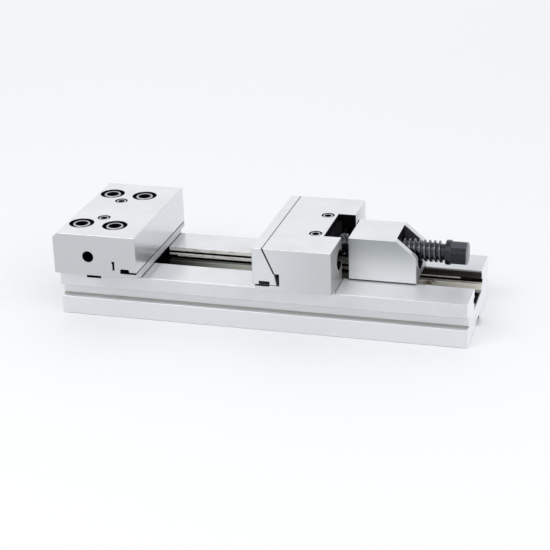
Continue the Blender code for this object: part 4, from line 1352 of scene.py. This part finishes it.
@dataclass
class MovableHalf:
    """The movable jaw with its plate, guide, cup, retainer and screws."""

    wedge_degrees: float = 24.0
    seam_top: tuple[float, float] = (0.0096, 0.0930)
    seam_bottom: float = 0.0668
    front_inset: float = 0.0746
    front_width: float = 0.0012

    def seams(self) -> tuple[Patch, ...]:
        """List the seam's patches, painted shade along the gap between plate and body: a grey line along
        the slanting seat, and a black one on the jaws' sides.

        Returns:
            The patches.
        """
        slant = math.radians(self.wedge_degrees)
        line = {"slant": slant, "start": self.seam_top, "bottom": self.seam_bottom}
        return (
            # Painted shade along the gap between plate and body, grey on top and black on the sides
            Seam(colour=SEAM_SHADE_GREY, metallic=0.2, **line),
            Seam(colour=PAINTED_SHADE_BLACK, metallic=0.2, width=self.front_width, inset=self.front_inset, **line),
        )

    def slanting(self, way: int) -> Facing:
        """Give the painted shade, black, on a slanting seat inside the seam.

        Args:
            way: 1 for the seat that faces the nut block, -1 for the one that faces the work.

        Returns:
            The patch.
        """
        slant = math.radians(self.wedge_degrees)
        normal = (way * math.cos(slant), 0.0, -way * math.sin(slant))
        return Facing(colour=PAINTED_SHADE_BLACK, roughness=0.6, metallic=0.2, normal=normal)

    def body_finish(self) -> GroundSteel:
        """Give the jaw body's finish.

        Returns:
            The finish.
        """
        return GroundSteel("jaw_body_ground_steel", patches=(
            # Painted light on the jaw body's sides, fading to painted shade towards its rear
            Zone(colour=LIT_BODY_GREY, far=SHADED_FRONT_GREY, **GROUND,
                 low=(0.0, 0.0746, 0.046), high=(0.079, 0.0755, UNDER_TOP)),
            # Painted shade on the jaw body's rear face, lighter towards its sides
            Zone(colour=SHADED_REAR_GREY, far=LIT_FLANGE_WHITE, along=1, **GROUND,
                 low=(0.0784, MIDDLE, 0.046), high=(0.0795, 0.0760, OVER_TOP)),
            # Painted shade, black, in the jaw body's hollows and the gaps under the plate's foot and over
            # the base
            *painted_shade_in_hollows({
                "rear recesses": ((0.0660, 0.0290, 0.0615), (0.0786, 0.0520, 0.0845)),
                "rear notch": ((0.0605, MIDDLE, 0.0400), (0.0786, 0.0317, UNDER_TOP)),
                "relief slot": ((0.0205, MIDDLE, 0.0542), (0.0263, OUTER_SIDE, 0.0669)),
                "gap under the plate's foot": ((0.0014, INNER_SIDE, 0.0534), (0.0160, OUTER_SIDE, 0.0544)),
                "guide screw holes": ((0.0440, 0.0185, 0.0500), (0.0585, 0.0325, UNDER_TOP)),
                "gap over the base": ((0.0785, MIDDLE, 0.0460), (0.0790, 0.0625, OVER_BASE)),
            }),
            self.slanting(-1),
            *self.seams(),
        ))

    def plate_finish(self) -> GroundSteel:
        """Give the jaw plate's finish.

        Returns:
            The finish.
        """
        return GroundSteel("jaw_plate_ground_steel", patches=(
            # Painted shade, black, in the foot's notch and the gap under the foot
            *painted_shade_in_hollows({
                "foot's notch": ((0.0056, MIDDLE, 0.0538), (0.0164, OUTER_SIDE, 0.0586)),
                "gap under the foot": ((0.0014, INNER_SIDE, 0.0538), (0.0060, OUTER_SIDE, 0.0552)),
            }),
            self.slanting(1),
            *self.seams(),
        ))

    def build(self, nodes: dict[str, bpy.types.Object], black: bpy.types.Material,
              hard: bpy.types.Material) -> None:
        """Dress the movable jaw and make its screws.

        Args:
            nodes: The CAD nodes.
            black: The black finish.
            hard: The hardened finish.
        """
        dress(nodes["jaw_body"], self.body_finish().build())
        dress(nodes["jaw_plate"], self.plate_finish().build())
        for name in ("jaw_guide", "thrust_cup"):
            dress(nodes[name], hard)
        dress(nodes["nose_retainer"], black)
        spring = SpringSteel("blued_spring_steel").build()
        for name in ("plate_spring_1", "plate_spring_2"):
            dress(nodes[name], spring)
        ScrewRow("guide_screw", M8, Body.JAW).build(black)
        ScrewRow("plate_screw", M10, Body.JAW, facing=FACING_MINUS_X).build(black)
        ScrewRow("retainer_screw", M5, Body.JAW, facing=FACING_X).build(black)


@dataclass
class NutCarriage:
    """The nut block on its toothed foot."""

    front: float = 0.084
    rear: float = 0.153
    side: float = 0.027
    pocket: tuple[float, float] = (0.1317, 0.1560)
    pocket_radius: float = 0.0186

    def finish(self) -> GroundSteel:
        """Give the nut block's finish.

        Returns:
            The finish.
        """
        start, end = self.pocket
        return GroundSteel("nut_block_ground_steel", patches=(
            # Painted light on the nut block's sides at the bottom, fading to painted shade towards the top
            Zone(colour=LIT_NUT_GREY, far=SHADED_NUT_GREY, along=2, **GROUND,
                 low=(self.front, 0.0260, 0.0400), high=(self.rear, self.side, 0.0906)),
            # Painted shade on the nut block's end face
            Facing(colour=SHADED_END_GREY, normal=(1.0, 0.0, 0.0), **GROUND),
            # Painted shade, black, in the pocket and the gap over the base
            *painted_shade_in_hollows({
                "pocket": ((start, MIDDLE, SPINDLE_HEIGHT), (end, self.pocket_radius, 0.0915)),
                "gap over the base": ((self.front, MIDDLE, 0.0460), (self.rear, 0.0272, 0.0477)),
            }),
            # Painted shade, black, in the pocket's round bottom
            Ring(colour=PAINTED_SHADE_BLACK, roughness=0.9, centre=(0.0, 0.0, SPINDLE_HEIGHT),
                 radii=(-0.001, self.pocket_radius), span=self.pocket, axis=0),
        ))

    def build(self, nodes: dict[str, bpy.types.Object], black: bpy.types.Material,
              hard: bpy.types.Material) -> None:
        """Dress the nut block and make its screws.

        Args:
            nodes: The CAD nodes.
            black: The black finish.
            hard: The hardened finish.
        """
        dress(nodes["nut_block"], self.finish().build())
        dress(nodes["nut_foot"], hard)
        ScrewRow("nut_screw", M8, Body.NUT, facing=FACING_MINUS_Z).build(black)


def screw_tops(stem: str, count: int, bright: tuple[float, float], worn: Colour) -> tuple[Patch, ...]:
    """Give the patches of a row of upright screws' heads: painted shade, black, with a bright ring of
    painted highlight.

    Args:
        stem: The start of the screws' node names.
        count: How many screws there are.
        bright: The bright ring's radii.
        worn: The colour of the painted highlight ring.

    Returns:
        The patches, which a ring mirrors to the screws on the other side.
    """
    patches: list[Patch] = []
    for number in range(1, count + 1):
        low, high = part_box(f"{stem}_{number}")
        x, y, _ = (low + high) / 2
        if y > 0:
            patches += [
                # Painted shade, black, over the head and its counterbore, and a painted highlight ring on
                # the head
                Ring(colour=PAINTED_SHADE_BLACK, roughness=0.9, centre=(x, y, 0.0),
                     radii=(-0.001, 0.0145), span=(0.086, OVER_TOP)),
                Ring(colour=worn, roughness=0.3, centre=(x, y, 0.0), radii=bright, span=(0.092, OVER_TOP)),
            ]
    return tuple(patches)


def blackened_steel() -> bpy.types.Material:
    """Make the black finish of the screws and the spindle, with painted highlights on the heads, the thread
    and the hexagon's top, a lighter hexagon end, and painted shade on the retainer.

    Returns:
        The material.
    """
    return BlackOxide("black_oxide_steel", patches=(
        # Painted highlight rings on the screws' heads
        *screw_tops("fixed_jaw_screw", 4, (0.0067, 0.0091), HIGHLIGHT_GREY),
        *screw_tops("key_screw", 2, (0.0037, 0.0048), HIGHLIGHT_LIGHT_GREY),
        *screw_tops("guide_screw", 2, (0.0037, 0.0048), HIGHLIGHT_LIGHT_GREY),
        # Painted light on the hexagon's top
        Zone(colour=LIT_HEXAGON_GREY, roughness=0.28, metallic=0.85,
             low=(0.1825, MIDDLE, 0.0810), high=(0.1985, 0.0200, 0.0900)),
        # Painted highlight on the thread's crests
        Ring(colour=CREST_HIGHLIGHT_GREY, roughness=0.18, centre=(0.0, 0.0, SPINDLE_HEIGHT),
             radii=(0.0106, 0.0115), span=(0.078, 0.177), axis=0),
        Zone(colour=HEXAGON_END, roughness=0.30,
             low=(0.1985, MIDDLE, 0.0550), high=(0.2100, 0.0200, 0.0900)),
        # Painted shade, black, on the retainer behind the notch
        *painted_shade_in_hollows({"retainer behind the notch": ((0.0600, MIDDLE, 0.0490), (0.0672, 0.0300, 0.0925))}),
    )).build()


def main() -> None:
    """Load the frame, dress each sub-assembly, and set the studio."""
    logging.basicConfig(level=logging.INFO, format="%(name)s: %(message)s")
    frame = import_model()
    nodes = frame["nodes"]
    black = blackened_steel()
    hard = HardenedSteel("hardened_steel").build()
    FixedHalf().build(nodes, black)
    MovableHalf().build(nodes, black, hard)
    NutCarriage().build(nodes, black, hard)
    Spindle().build(black)
    Studio().build()


if __name__ == "__main__":
    main()
